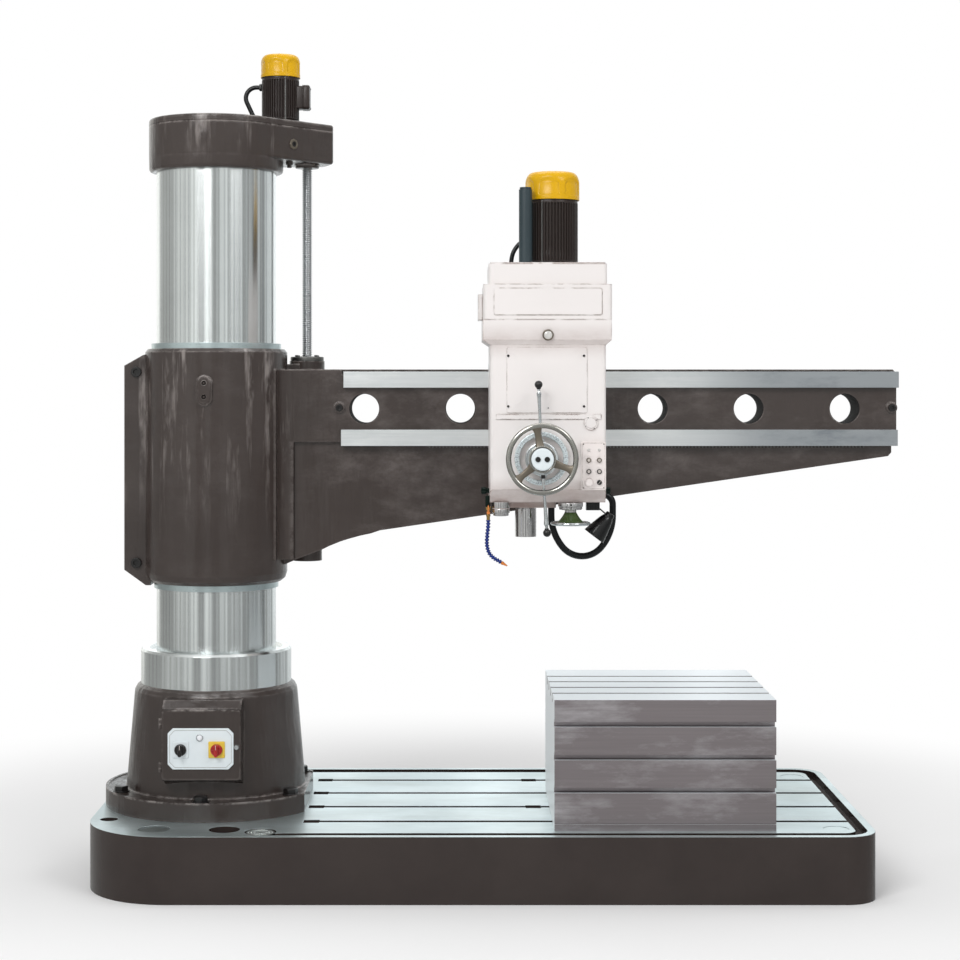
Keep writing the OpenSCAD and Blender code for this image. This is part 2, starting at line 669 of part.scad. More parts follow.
// Arm: sleeve with split clamp lugs, and the hollow beam
module arm_casting() {
  fillet_r = 60;
  fillet_z = 1130;
  front = sleeve_r + fillet_r;
  fx = sqrt(pow(front, 2) - pow(-way_back + fillet_r, 2));
  bx = sqrt(pow(front, 2) - pow(beam_back + fillet_r, 2));
  color("dimgray") difference() {
    union() {
      turned([[0, sleeve_low], [sleeve_r - 22, sleeve_low], [sleeve_r - 7, sleeve_low + 12], [sleeve_r, sleeve_low + 34],
              [sleeve_r, sleeve_high - 12], [sleeve_r - 10, sleeve_high], [0, sleeve_high]]);
      side_profile([[lug[0], 1092], [-252, sleeve_low - 12], [-234, sleeve_low - 12], [-234, sleeve_low + 2],
                    [-200, sleeve_low + 2], [-200, 1896], [-262, 1882], [lug[0], 1843]], [-lug[1], lug[1]]);
      // beam, web and the fillets into the sleeve
      side_profile([[200, ledge_z], [arm_reach, ledge_z], [arm_reach, arm_top - 8], [arm_reach - 8, arm_top],
                    [200, arm_top]], [way_back, beam_back]);
      side_profile([[200, 1100], [262, 1112], [300, 1129], [393, 1164], [421, 1178], [463, 1195], [491, 1204],
                    [534, 1216], [576, 1225], [609, underside(609)], [web_end - 12, underside(web_end - 12)],
                    [web_end, underside(web_end) + 12], [web_end, ledge_z], [200, ledge_z]],
                   [web_face, beam_back - 20]);
      difference() {
        box([200, fx], [way_back - fillet_r, way_back + eps], [fillet_z, arm_top]);
        disc(fx, way_back - fillet_r, [fillet_z - eps, arm_top + eps], fillet_r);
      }
      difference() {
        box([200, bx], [beam_back - 20, beam_back + fillet_r], [fillet_z, arm_top]);
        disc(bx, beam_back + fillet_r, [fillet_z - eps, arm_top + eps], fillet_r);
      }
      // boss of the nut and the tube round the screw, at the back of the beam
      disc(screw[0], screw[1], [boss_low, boss_top], 66);
      disc(screw[0], screw[1], [screw_tube_low, boss_low + eps], screw_tube_r);
      rotate([0, 0, lift_angle]) {
        box([200, screw_distance], [-50, 50], [boss_low, boss_top - 12]);
        box([200, screw_distance], [-18, 18], [1150, boss_low + eps]);
      }
      // flat seat of the oval plate
      front_plate([-42, 16], [-sleeve_r - 8, -sleeve_r + 30], [1696, 1804], 28);
      for (x = [461, 2490]) rod_y(x, 1688, [way_back - 8, way_back + eps], 20);
    }
    // bore, keyway and split
    disc(0, 0, [sleeve_low - 20, sleeve_high + eps], column_r + fit);
    box([-key_w / 2 - 0.1, key_w / 2 + 0.1], [column_r - 20, column_r + key_proud + 0.2], [sleeve_low - 20, sleeve_high + eps]);
    box([lug[0] - eps, -column_r + 5], [-5, 5], [sleeve_low - 20, sleeve_high + eps]);
    for (z = lug_bolt_zs) rod_y(lug_bolt_x, z, [-lug[1] - eps, lug[1] + eps], 12.3);
    // room for the screw and its nut
    disc(screw[0], screw[1], [screw_tube_low - eps, boss_top + eps], 25);
    disc(screw[0], screw[1], [boss_top - nut_l - 2, boss_top + eps], 40.2);
    // hollow inside, crossed by the walls of the round holes
    difference() {
      union() {
        box([520, arm_reach - 28], [way_back + 20, beam_back - 20], [ledge_z + 20, arm_top - 34]);
        side_profile([[560, ledge_z + 30], [2300, ledge_z + 30], [2300, underside(2300) + 28], [560, underside(560) + 30]],
                     [web_face + 20, beam_back - 40]);
      }
      for (i = [0:5]) rod_y(hole_x + i * arm_hole_pitch, hole_z, [way_back, beam_back], arm_hole_d / 2 + 14);
    }
    for (i = [0:5]) rod_y(hole_x + i * arm_hole_pitch, hole_z, [way_back - eps, beam_back + eps], arm_hole_d / 2);
    // groove behind the upper way, for the keeper
    box([way_x, arm_reach + eps], [way_back, way_back + 25], [arm_top - 20, arm_top + eps]);
    for (x = [461, 2490]) rod_y(x, 1688, [way_back - 10, way_back + 18], 8.2);
  }
}

// Wiper rings above and below the sleeve
module sleeve_rings() {
  color("silver") {
    difference() {
      disc(0, 0, [sleeve_high, sleeve_high + 20], 239);
      disc(0, 0, [sleeve_high - eps, sleeve_high + 21], column_r + gap);
      box([-key_w / 2 - 0.3, key_w / 2 + 0.3], [0, column_r + key_proud + 0.5], [sleeve_high - eps, sleeve_high + 21]);
    }
    difference() {
      disc(0, 0, [sleeve_low - 22, sleeve_low], 229);
      disc(0, 0, [sleeve_low - 23, sleeve_low + eps], column_r + gap);
      box([-key_w / 2 - 0.3, key_w / 2 + 0.3], [0, 235], [sleeve_low - 23, sleeve_low + eps]);
    }
  }
}

// Clamp bolts through the lugs, and the two stop screws on the arm's face
module arm_bolts() {
  color([0.15, 0.15, 0.15]) {
    for (z = lug_bolt_zs) {
      rod_y(lug_bolt_x, z, [-lug[1], lug[1] + 22], 12);
      rod_y(lug_bolt_x, z, [-lug[1] - 14, -lug[1]], 19);
      translate([lug_bolt_x, lug[1], z]) rotate([-90, 0, 0]) cylinder(r = 21, h = 18, $fn = 6);
    }
    for (x = [461, 2490]) {
      rod_y(x, 1688, [way_back - 8, way_back + 16], 8);
      rod_y(x, 1688, [way_back - 20, way_back - 8], 13);
    }
  }
}

// Flanged nut that carries the arm on the screw
module lift_nut() {
  color("silver") difference() {
    union() {
      disc(screw[0], screw[1], [boss_top, boss_top + 16], 62);
      disc(screw[0], screw[1], [boss_top - nut_l, boss_top + eps], 40);
      for (a = [45:90:315])
        hex_head(screw[0] + 51 * cos(a), screw[1] + 51 * sin(a), [boss_top + 15, boss_top + 22], 7);
    }
    disc(screw[0], screw[1], [boss_top - nut_l - eps, boss_top + 17], screw_d / 2 + fit);
  }
}

// Ground ways on the arm's face
module arm_ways() {
  color("lightsteelblue") {
    box([way_x + 7, arm_reach + 4], [way_face, way_back], [way_top - way_h, way_top]);
    box([way_x - 2, arm_reach], [way_face, way_back], [way_low, way_low + way_h]);
  }
}

// Rack behind the lower way, teeth down
module traverse_rack() {
  pitch = PI * rack_m;
  count = 128;
  x0 = pinion_x - 39 * pitch;
  root = rack_pitch_z + rack_m * 1.1;
  tip = rack_pitch_z - rack_m * 0.85;
  color("gray") side_profile(concat(
    [[x0 - pitch / 2, ledge_z], [x0 - pitch / 2, root]],
    [for (i = [0:count - 1], c = [[-0.36, root], [-0.13, tip], [0.13, tip], [0.36, root]]) [x0 + (i + c[0] * 0.86) * pitch, c[1]]],
    [[x0 + (count - 0.5) * pitch, root], [x0 + (count - 0.5) * pitch, ledge_z]]), [way_back + 1, web_face]);
}

// Main housing of the drill head, with the saddle that rides on the ways
module head_casting() {
  f = -head_front;
  color("whitesmoke") difference() {
    union() {
      difference() {
        intersection() {
          slab([head_left, head_right], [f, back_wall_y + 12], [head_low, flare_z + eps], 12);
          end_profile([[f, head_low + 46], [f + 40, head_low], [back_wall_y, head_low], [back_wall_y, flare_z + 2], [f, flare_z + 2]],
                      [head_left - eps, head_right + eps]);
        }
        box([head_left + wall, head_right - wall], [f + wall + 2, back_wall_y - wall - 4], [head_low + bottom_t, flare_z + 2]);
      }
      // flared band at the split
      difference() {
        intersection() {
          side_profile([[head_left, flare_z], [head_right, flare_z], [1431, flare_z + 17], [1431, split_z], [983, split_z],
                        [983, flare_z + 17]], [f - 10, -80]);
          end_profile([[f, flare_z], [-98, flare_z], [-80, flare_z + 17], [-80, split_z], [f - 10, split_z], [f - 10, flare_z + 17]],
                      [980, 1435]);
        }
        box([head_left + wall, head_right - wall], [f + wall + 2, back_wall_y - wall - 4], [flare_z - eps, split_z + eps]);
      }
      box([head_left, head_right], [back_wall_y - eps, saddle_face], [1490, way_top]);
      // guide of the quill, bridge for the switch tube, and the plate under the drive gear
      disc(spindle_x, spindle_y, [head_low, 1700], 74);
      box([head_left + wall - eps, 1224], [-438, -424], [1488, 1546]);
      box([head_left + wall - eps, head_right - wall + eps], [-390, back_wall_y - wall], [1976, 1990]);
      // bosses under the head
      slab([1080, 1243], [-370, -230], [quill_low - 6, head_low + eps], 6);
      disc(1047, -430, [1325, head_low + 2], 30.5);
      disc(1047, -430, [1314, 1326], 19);
      // raised band, round cover and oil plug on the front
      box([1030, 1395], [f - 4, f + eps], [1652, 1669]);
      rod_y(1359.5, 1639, [f - 6, f + eps], 24);
      rod_y(1209.5, 1945, [f - 20, f - 9], 18);
    }
    disc(spindle_x, spindle_y, [quill_low - 7, 1701], quill_r + fit);
    disc(spindle_x, spindle_y, [1975, 1991], 40 + fit);
    disc(motor_x, motor_y, [1975, 1991], 14 + fit);
    rod_y(wheel_x, wheel_z, [f - 5, f + wall + 3], 42 + fit);
    rod_y(wheel_x, wheel_z, [-439, -423], 18);
    rod_y(pinion_x, wheel_z, [back_wall_y - 21, saddle_face + eps], 12 + fit);
    disc(fine_x, fine_y, [head_low - eps, head_low + bottom_t + eps], 10 + fit);
    for (x = [[head_left - eps, head_left + wall + eps], [head_right - wall - eps, head_right + eps]])
      rod_x(-300, 1395, [x[0] - 8, x[1] + 8], 8 + fit);
  }
}

// Keeper bars behind the upper way and under the lower way
module head_keepers() {
  color("gray") {
    difference() {
      box([head_left, head_right], [back_wall_y, way_back + 23], [way_top - 9.5, 1848]);
      box([head_left - eps, head_right + eps], [back_wall_y - eps, way_back + gap], [way_top - 12, way_top + gap]);
    }
    difference() {
      box([head_left, head_right], [saddle_face, way_back - 1], [1524, way_low - gap]);
      rod_y(pinion_x, wheel_z, [saddle_face - eps, way_back], 15);
    }
  }
}

// Upper gearbox housing, stepped in towards the top
module gearbox_cover() {
  f = -head_front;
  color("whitesmoke") difference() {
    union() {
      slab([985, 1433], [f - 8, -80], [split_z, step_z], 14);
      slab([1004, 1416], [f + 2, -90], [step_z - eps, head_top - 5], 12);
      slab([1009, 1411], [f + 7, -95], [head_top - 6, head_top], 10);
      front_plate([1022, 1398], [f - 11, f], [split_z + 16, step_z - 14], 8);
      slab([968, 986], [-320, -180], [split_z + 4, 2094], 5);
    }
    box([head_left + wall, head_right - wall], [f + wall + 2, -112], [split_z - eps, head_top - 14]);
    disc(motor_x, motor_y, [head_top - 15, head_top + eps], 30);
    disc(spindle_x, spindle_y, [head_top - 15, head_top + eps], 20.5);
  }
}

// Cover panel with its screws
module head_cover_panel() {
  f = -head_front;
  color("white") {
    front_plate([1066, 1347], [f - 4, f], [1674, 1904], 8);
    for (x = [1071.6 + 3, 1336], z = [1697, 1873]) rod_y(x, z, [f - 7, f - 4], 6);
    rod_y(1210, 1691.5, [f - 7, f - 4], 5);
  }
}

module main_motor_body() {
  color([0.25, 0.23, 0.22]) {
    finned_shell(motor_x, motor_y, [head_top, 2437], 92, 66, 36);
    difference() {
      box([1128, 1166], [motor_y - 26, motor_y + 26], [2262, 2308]);
      disc(motor_x, motor_y, [2260, 2310], 92.2);
    }
  }
}
module main_motor_fan_cover() {
  color("gold") fan_cover(motor_x, motor_y, [2437, 2538], 99);
}
// Rotor, shaft, fan and pinion of the main motor
module main_motor_rotor() {
  turn = atan2(motor_y - spindle_y, motor_x - spindle_x) + 180;
  color("darkgray") {
    disc(motor_x, motor_y, [1978, 2450], 14);
    disc(motor_x, motor_y, [2232, 2410], 62);
    disc(motor_x, motor_y, [2450, 2478], 78);
    translate([motor_x, motor_y, drive_gear_z]) gear(24, gear_m, 40, turn + 180 / 24);
  }
}
// Gear on a splined hub that drives the spindle while the quill slides
module spindle_drive_gear() {
  turn = atan2(motor_y - spindle_y, motor_x - spindle_x);
  color("darkgray") translate([spindle_x, spindle_y, 0]) difference() {
    union() {
      translate([0, 0, drive_gear_z]) gear(48, gear_m, 40, turn);
      disc(0, 0, [1976, drive_gear_z + 60], 40);
    }
    disc(0, 0, [1975, drive_gear_z + 61], 15 + 0.2);
    for (a = [0, 60, 120]) rotate([0, 0, a]) box([-17.2, 17.2], [-4.2, 4.2], [1975, drive_gear_z + 61]);
  }
}

module spindle_guard_tube() {
  color("darkslategray") difference() {
    union() {
      disc(spindle_x, spindle_y, [head_top, 2468], 24);
      disc(spindle_x, spindle_y, [2467, 2476], 21);
      disc(spindle_x, spindle_y, [head_top, head_top + 4], 29);
    }
    disc(spindle_x, spindle_y, [head_top - eps, 2470], 20);
  }
}

// Round bend in the upright plane of the hose loop
module arc_tube(x, z, bend, first, turn, r) {
  translate([x, loop_y, z]) rotate([90, 0, 0]) rotate([0, 0, first])
    rotate_extrude(angle = turn) translate([bend, 0]) circle(r = r);
}

// Hose loop under the head and the motor lead on top, with their fittings
module head_conduits() {
  bend = 38;
  half = (loop_x[1] - loop_x[0]) / 2;
  shift = (loop_drop - half) / (sin(loop_turn) + cos(loop_turn) - 1);
  side_r = half + shift * cos(loop_turn);
  low_z = loop_z - shift * sin(loop_turn);
  low_turn = 180 - 2 * loop_turn;
  color([0.08, 0.08, 0.08]) {
    arc_tube(loop_x[0] + side_r, loop_z, side_r, 180, loop_turn, conduit_r);
    arc_tube(loop_x[0] + half, low_z, side_r - shift, 179.5 + loop_turn, low_turn + 1, conduit_r - 0.3);
    arc_tube(loop_x[1] - side_r, loop_z, side_r, -loop_turn, loop_turn, conduit_r);
    disc(loop_x[0], loop_y, [loop_z, head_low - 22], conduit_r);
    disc(loop_x[0], loop_y, [head_low - 22, head_low], 17);
    disc(loop_x[1], loop_y, [loop_z - eps, 1340 + eps], conduit_r - 0.3);
    translate([loop_x[1] - 36, loop_y, 1340]) rotate([90, 0, 0]) rotate_extrude(angle = 90) translate([36, 0]) circle(r = conduit_r + 2);
    rod_x(loop_y, 1376, [head_right, loop_x[1] - 36], conduit_r + 2);
    // lead from the motor to the head
    translate([1128, motor_y, 2285 - bend]) rotate([90, 0, 0]) rotate([0, 0, 90])
      rotate_extrude(angle = 90) translate([bend, 0]) circle(r = 8);
    disc(1128 - bend, motor_y, [head_top + 11, 2285 - bend], 8);
    disc(1128 - bend, motor_y, [head_top, head_top + 11], 21);
  }
}

// Push-button panel with two lamps and round collars
module control_panel() {
  xs = [1350, 1386.5];
  zs = [1434, 1472, 1511, 1546];
  f = panel[1][0];
  color("white") difference() {
    union() {
      front_plate(panel[0], panel[1], panel[2], 6);
      for (x = xs, z = [zs[1], zs[2]]) rod_y(x, z, [f - 3, f + eps], 11);
      for (x = xs) rod_y(x, zs[3], [f - 5, f + eps], 8);
      rod_y(xs[0], zs[0], [f - 3, f + eps], 15);
      rod_y(xs[1], zs[0], [f - 3, f + eps], 12);
    }
    for (x = xs, z = [zs[0], zs[1], zs[2]]) rod_y(x, z, [f - 4, f + 18], button_r + fit);
  }
}
module push_button(x, z) {
  rod_y(x, z, [panel[1][0] - 7, panel[1][0] + 10], button_r);
}
module start_button() {
  color("gainsboro") push_button(1350, 1511);
}
module reverse_button() {
  color("gainsboro") push_button(1386.5, 1511);
}
module arm_up_button() {
  color("gainsboro") push_button(1350, 1472);
}
module arm_down_button() {
  color("gainsboro") push_button(1386.5, 1472);
}
// Mushroom stop button
module stop_button() {
  color("gainsboro") {
    rod_y(1350, 1434, [panel[1][0] - 13, panel[1][0] + 8], button_r);
    rod_y(1350, 1434, [panel[1][0] - 22, panel[1][0] - 13], 14);
  }
}
module mode_selector() {
  f = panel[1][0];
  color([0.2, 0.2, 0.2]) union() {
    rod_y(1386.5, 1434, [f - 8, f - 3.4], 10.5);
    rod_y(1386.5, 1434, [f - 3.4, f + 14], button_r);
    translate([1386.5, f - 13, 1434]) rotate([0, 45, 0]) translate([-3.5, -4, -10]) cube([7, 10, 20]);
  }
}

// Fixed tube through the handwheel, and the plate that holds the two clamp buttons
module hub_button_plate() {
  color("whitesmoke") difference() {
    union() {
      rod_y(wheel_x, wheel_z, [-614, -598], 39);
      rod_y(wheel_x, wheel_z, [-599, -424], 18);
    }
    rod_y(wheel_x, wheel_z, [-592, -423], 12);
    for (s = [-1, 1]) rod_y(wheel_x + s * 15.8, wheel_z, [-615, -604], 9 + fit);
  }
}
module hub_button(s) {
  rod_y(wheel_x + s * 15.8, wheel_z, [-619, -608], 9);
}
module hub_button_left() {
  color([0.1, 0.1, 0.1]) hub_button(-1);
}
module hub_button_right() {
  color([0.1, 0.1, 0.1]) hub_button(1);
}

// Handwheel of the head traverse, on a hollow shaft with a gear inside the head
module traverse_handwheel() {
  rim_r = 9.5;
  ring_r = wheel_d / 2 - rim_r;
  y = -586;
  color("silver") difference() {
    union() {
      translate([wheel_x, y, wheel_z]) rotate([90, 0, 0]) rotate_extrude() translate([ring_r, 0]) circle(r = rim_r, $fn = 48);
      for (a = [100, 220, 340]) translate([wheel_x, y + 2, wheel_z]) rotate([0, -a, 0]) translate([40, -6, -12]) cube([ring_r - 42, 13, 24]);
      rod_y(wheel_x, wheel_z, [-608, -566], 46.5);
      rod_y(wheel_x, wheel_z, [-567, -442], 30);
      translate([wheel_x, -444, wheel_z]) rotate([90, 0, 0]) gear(32, traverse_m, 15, 0);
    }
    rod_y(wheel_x, wheel_z, [-609, -597], 40.5);
    rod_y(wheel_x, wheel_z, [-598, -441], 18 + fit);
  }
}
// Second shaft of the traverse: a gear inside the head, and the pinion on the rack
module traverse_pinion() {
  color("gray") {
    rod_y(pinion_x, wheel_z, [-460, web_face - 1.5], 12);
    difference() {
      translate([pinion_x, -444, wheel_z]) rotate([90, 0, 0]) gear(32, traverse_m, 15, 180 + 180 / 32);
      rod_y(pinion_x, wheel_z, [-470, -440], 12);
    }
    difference() {
      translate([pinion_x, web_face - 1.5, wheel_z]) rotate([90, 0, 0]) gear(rack_teeth, rack_m, 14, 90 + 180 / rack_teeth);
      rod_y(pinion_x, wheel_z, [-80, -50], 12);
    }
  }
}

// Feed levers: dial, hub and two rods with ball knobs, behind the handwheel
module feed_levers() {
  y = -543;
  color("lightgray") difference() {
    union() {
      rod_y(wheel_x, wheel_z, [-556, -465], 42);
      rod_y(wheel_x, wheel_z, [-556, -530], 58);
      rod_y(wheel_x, wheel_z, [-502, -492], 90);
      difference() {
        rod_y(wheel_x, wheel_z, [-520, -490], 93);
        rod_y(wheel_x, wheel_z, [-521, -489], 76);
      }
      box([wheel_x - 13, wheel_x + 13], [y - 12, y + 12], [wheel_z - 66, wheel_z - 50]);
      box([wheel_x - 13, wheel_x + 13], [y - 12, y + 12], [wheel_z + 50, wheel_z + 66]);
      for (a = lever_angles) translate([wheel_x, y, wheel_z]) rotate([0, 90 - a, 0]) {
        translate([0, 0, 50]) cylinder(r = 5.8, h = lever_l - 60);
        translate([0, 0, lever_l - 24]) cylinder(r1 = 6, r2 = 9, h = 16);
        translate([0, 0, lever_l]) sphere(r = 13.5);
      }
    }
    rod_y(wheel_x, wheel_z, [-557, -464], 30 + fit);
  }
}

// Fine feed handwheel under the head, on an upright shaft
module fine_feed_wheel() {
  color("honeydew") translate([fine_x, fine_y, 0]) {
    turned([[0, 1284], [58, 1284], [60, 1290], [44, 1297], [28, 1310], [19, 1326], [19, 1336], [45, 1336], [45, head_low - 0.5],
            [10, head_low - 0.5], [10, 1405], [0, 1405]]);
    translate([0, 0, 1287]) rotate_extrude() translate([64, 0]) circle(r = 6, $fn = 48);
  }
}

// Quill: sleeve that carries the spindle, with its rack cut in the back
module quill() {
  top = quill_low + quill_l;
  color("silver") translate([spindle_x, spindle_y, 0]) difference() {
    disc(0, 0, [quill_low, top], quill_r);
    disc(0, 0, [quill_low - eps, top + eps], 25 + fit);
    disc(0, 0, [quill_low + 70, top - 60], 34);
    for (i = [0:29]) box([-18, 18], [quill_r - 6, quill_r + eps], [quill_low + 60 + i * 15, quill_low + 67 + i * 15]);
  }
}

// Spindle: nose with a taper socket, shaft and the splined upper end
module spindle() {
  top = quill_low + quill_l;
  color("gainsboro") translate([spindle_x, spindle_y, 0]) difference() {
    union() {
      disc(0, 0, [nose_z, 1332], nose_d / 2);
      disc(0, 0, [1331, quill_low - 0.5], 31);
      disc(0, 0, [1335, top + 0.5], 25);
      disc(0, 0, [top + 0.5, top + 14], 32);
      disc(0, 0, [top + 13, 2462], 15);
      for (a = [0, 60, 120]) rotate([0, 0, a]) box([-17, 17], [-4, 4], [top + 13, 2462]);
    }
    translate([0, 0, nose_z - 0.01]) cylinder(r1 = 22.2, r2 = 18.6, h = 136);
  }
}

// Coolant tap on the head's left side
module coolant_valve() {
  color("goldenrod") union() {
    box([992, head_left], [hose_y - 12, hose_y + 12], [1345, 1385]);
    disc(1003, hose_y, [hose_route[0][1], 1346], 9);
    rod_y(1003, 1325, [hose_y - 14, hose_y], 6);
  }
}
module coolant_valve_lever() {
  color("darkorange") union() {
    rod_y(1003, 1325, [hose_y - 19, hose_y - 14.2], 6);
    box([1000, 1006], [hose_y - 19, hose_y - 16], [1319, 1352]);
  }
}

// Point at share t of the stretch after point i, on a smooth curve through the route
function clamp_index(i) = min(max(i, 0), len(hose_route) - 1);
function smooth(i, t) = let (p0 = hose_route[clamp_index(i - 1)], p1 = hose_route[i], p2 = hose_route[clamp_index(i + 1)],
    p3 = hose_route[clamp_index(i + 2)])
  0.5 * (2 * p1 + (p2 - p0) * t + (2 * p0 - 5 * p1 + 4 * p2 - p3) * t * t + (3 * p1 - p0 - 3 * p2 + p3) * t * t * t);
function on_route(s) = let (n = len(hose_route) - 1, i = min(floor(s * n), n - 1)) smooth(i, s * n - i);
function heading(s) = let (d = on_route(min(s + 0.01, 1)) - on_route(max(s - 0.01, 0))) d / norm(d);
// One ring of the hose wall: eight points about the route
function hose_ring(s, r) = let (p = on_route(s), d = heading(s))
  [for (k = [0:7]) [p[0] - d[1] * r * cos(k * 45), hose_y + r * sin(k * 45), p[1] + d[0] * r * cos(k * 45)]];
// Ribbed coolant hose: each rib is a wide ring and a narrow ring, round an open bore
module coolant_hose() {
  shares = [for (i = [0:2 * hose_ribs]) i / (2 * hose_ribs)];
  rings = len(shares);
  outer = [for (i = [0:rings - 1]) each hose_ring(shares[i], i % 2 == 0 ? hose_r - 1.8 : hose_r)];
  inner = [for (s = shares) each hose_ring(s, hose_bore_r)];
  o = rings * 8;
  next = function (k) (k + 1) % 8;
  last = (rings - 1) * 8;
  color("mediumblue") polyhedron(concat(outer, inner), concat(
    [for (i = [0:rings - 2], k = [0:7]) each [[i * 8 + k, i * 8 + next(k), i * 8 + 8 + next(k)],
                                             [i * 8 + k, i * 8 + 8 + next(k), i * 8 + 8 + k]]],
    [for (i = [0:rings - 2], k = [0:7]) each [[o + i * 8 + k, o + i * 8 + 8 + next(k), o + i * 8 + next(k)],
                                             [o + i * 8 + k, o + i * 8 + 8 + k, o + i * 8 + 8 + next(k)]]],
    [for (k = [0:7]) each [[k, o + k, o + next(k)], [k, o + next(k), next(k)]]],
    [for (k = [0:7]) each [[last + k, o + last + next(k), o + last + k], [last + k, last + next(k), o + last + next(k)]]]));
}
module coolant_nozzle() {
  p = hose_route[len(hose_route) - 1];
  d = heading(1);
  color("darkorange") translate([p[0], hose_y, p[1]]) rotate([0, 90 - atan2(d[1], d[0]), 0]) difference() {
    union() {
      cylinder(r = 6.5, h = 7);
      translate([0, 0, 7]) cylinder(r1 = 5.5, r2 = 2, h = 17);
    }
    translate([0, 0, -eps]) cylinder(r = 1.2, h = 26);
  }
}

// Screws that lock the head on the arm
module head_clamp_screw(side, s) {
  union() {
    rod_x(-300, 1395, [min(side, side - s * 18), max(side, side - s * 18)], 8);
    rod_x(-300, 1395, [min(side, side + s * 12), max(side, side + s * 12)], 8);
    for (a = [0, 90]) translate([side + s * 20, -300, 1395]) rotate([a, 0, 0]) translate([-9, -13, -4]) cube([18, 26, 8]);
    rod_x(-300, 1395, [min(side + s * 11, side + s * 29), max(side + s * 11, side + s * 29)], 9);
  }
}
module head_clamp_screw_left() {
  color([0.05, 0.15, 0.12]) head_clamp_screw(head_left, -1);
}
module head_clamp_screw_right() {
  color([0.05, 0.15, 0.12]) head_clamp_screw(head_right, 1);
}

// Work lamp: base under the head, and the shade on its two thin rods
module lamp_base() {
  color([0.1, 0.1, 0.1]) difference() {
    slab([1350, 1398], [lamp_y - 24, lamp_y + 24], [1329, head_low], 5);
    box([lamp_pivot[0] - 9, 1399], [lamp_y - 12.3, lamp_y + 12.3], [1328, lamp_pivot[1] + 10]);
  }
  color([0.1, 0.1, 0.1]) rod_y(lamp_pivot[0], lamp_pivot[1], [lamp_y - 23, lamp_y + 23], 3);
}
module lamp_shade() {
  apex = [1432, 1307];
  mouth = [1379, 1237];
  reach = norm(mouth - apex);
  tilt = atan2(mouth[0] - apex[0], mouth[1] - apex[1]);
  arm = apex - lamp_pivot;
  color([0.07, 0.07, 0.07]) difference() {
    union() {
      rod_y(lamp_pivot[0], lamp_pivot[1], [lamp_y - 12, lamp_y + 12], 7);
      for (s = [-1, 1]) translate([lamp_pivot[0], lamp_y + s * 7, lamp_pivot[1]])
        rotate([0, atan2(arm[0], arm[1]), 0]) cylinder(r = 2.5, h = norm(arm));
      translate([apex[0], lamp_y, apex[1]]) rotate([0, tilt, 0]) {
        turned([[0, -12], [17, -12], [19, -6], [20, 8], [40, reach], [38.4, reach], [18, 10], [0, 10]]);
        translate([0, 0, 9]) cylinder(r = 12, h = 9);
      }
    }
    rod_y(lamp_pivot[0], lamp_pivot[1], [lamp_y - 13, lamp_y + 13], 3 + fit);
  }
}

base_casting();
base_plugs();
pedestal();
pedestal_bolts();
inner_column();
column_bearings();
column_clamp_ring();
box_table();
switch_box_door();
switch_plate();
isolator_knob();
pump_switch_knob();
outer_column();
top_cap();
top_cap_lid();
lift_motor_body();
lift_motor_fan_cover();
lift_motor_terminal_box();
lift_screw();
lift_motor_rotor();
arm_casting();
sleeve_rings();
arm_bolts();
lift_nut();
arm_ways();
traverse_rack();
head_casting();
head_keepers();
gearbox_cover();
head_cover_panel();
main_motor_body();
main_motor_fan_cover();
main_motor_rotor();
spindle_guard_tube();
spindle_drive_gear();
head_conduits();
control_panel();
hub_button_plate();
hub_button_left();
hub_button_right();
start_button();
reverse_button();
arm_up_button();
arm_down_button();
stop_button();
mode_selector();
traverse_handwheel();
traverse_pinion();
feed_levers();
fine_feed_wheel();
quill();
spindle();
coolant_valve();
coolant_valve_lever();
coolant_hose();
coolant_nozzle();
head_clamp_screw_left();
head_clamp_screw_right();
lamp_base();
lamp_shade();
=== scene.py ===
from itertools import product
from math import atan2, cos, pi, radians, sin, sqrt
import bmesh
import bpy
import numpy as np
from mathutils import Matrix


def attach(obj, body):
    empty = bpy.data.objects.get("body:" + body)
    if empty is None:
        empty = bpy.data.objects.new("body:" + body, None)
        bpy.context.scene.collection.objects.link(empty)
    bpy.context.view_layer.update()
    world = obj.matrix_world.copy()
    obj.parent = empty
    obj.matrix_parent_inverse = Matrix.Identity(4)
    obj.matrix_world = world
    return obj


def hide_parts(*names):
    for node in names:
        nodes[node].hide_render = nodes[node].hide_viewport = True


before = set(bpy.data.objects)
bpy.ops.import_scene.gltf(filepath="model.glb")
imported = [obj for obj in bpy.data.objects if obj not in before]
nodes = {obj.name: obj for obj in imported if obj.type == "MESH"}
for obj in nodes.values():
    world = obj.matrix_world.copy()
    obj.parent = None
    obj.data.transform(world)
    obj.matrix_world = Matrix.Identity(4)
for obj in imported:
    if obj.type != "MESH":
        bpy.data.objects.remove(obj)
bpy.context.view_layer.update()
scene = bpy.context.scene
print("frame loaded:", len(nodes), "nodes")

# Places that several pieces share. Here and below, a front, a face or a plane is a place along Y
shared = {
    "liftScrew": (0.327189, 0.124287),
    "liftMotor": (0.229967, 0.087356),
    "wheelAxis": (1.186, 1.517),  # handwheel, feed levers and hub
    "headFront": -0.480,
}

# Camera, from the vanishing lines of the base and the known size of the column
camera = {
    "place": (0.904, -7.545, 1.768),
    "focalPixels": 2032,
    "axisPixel": (460, 386),  # where the level line of sight meets the image
    "imagePixels": 960,
    "sensor": 36.0,
}


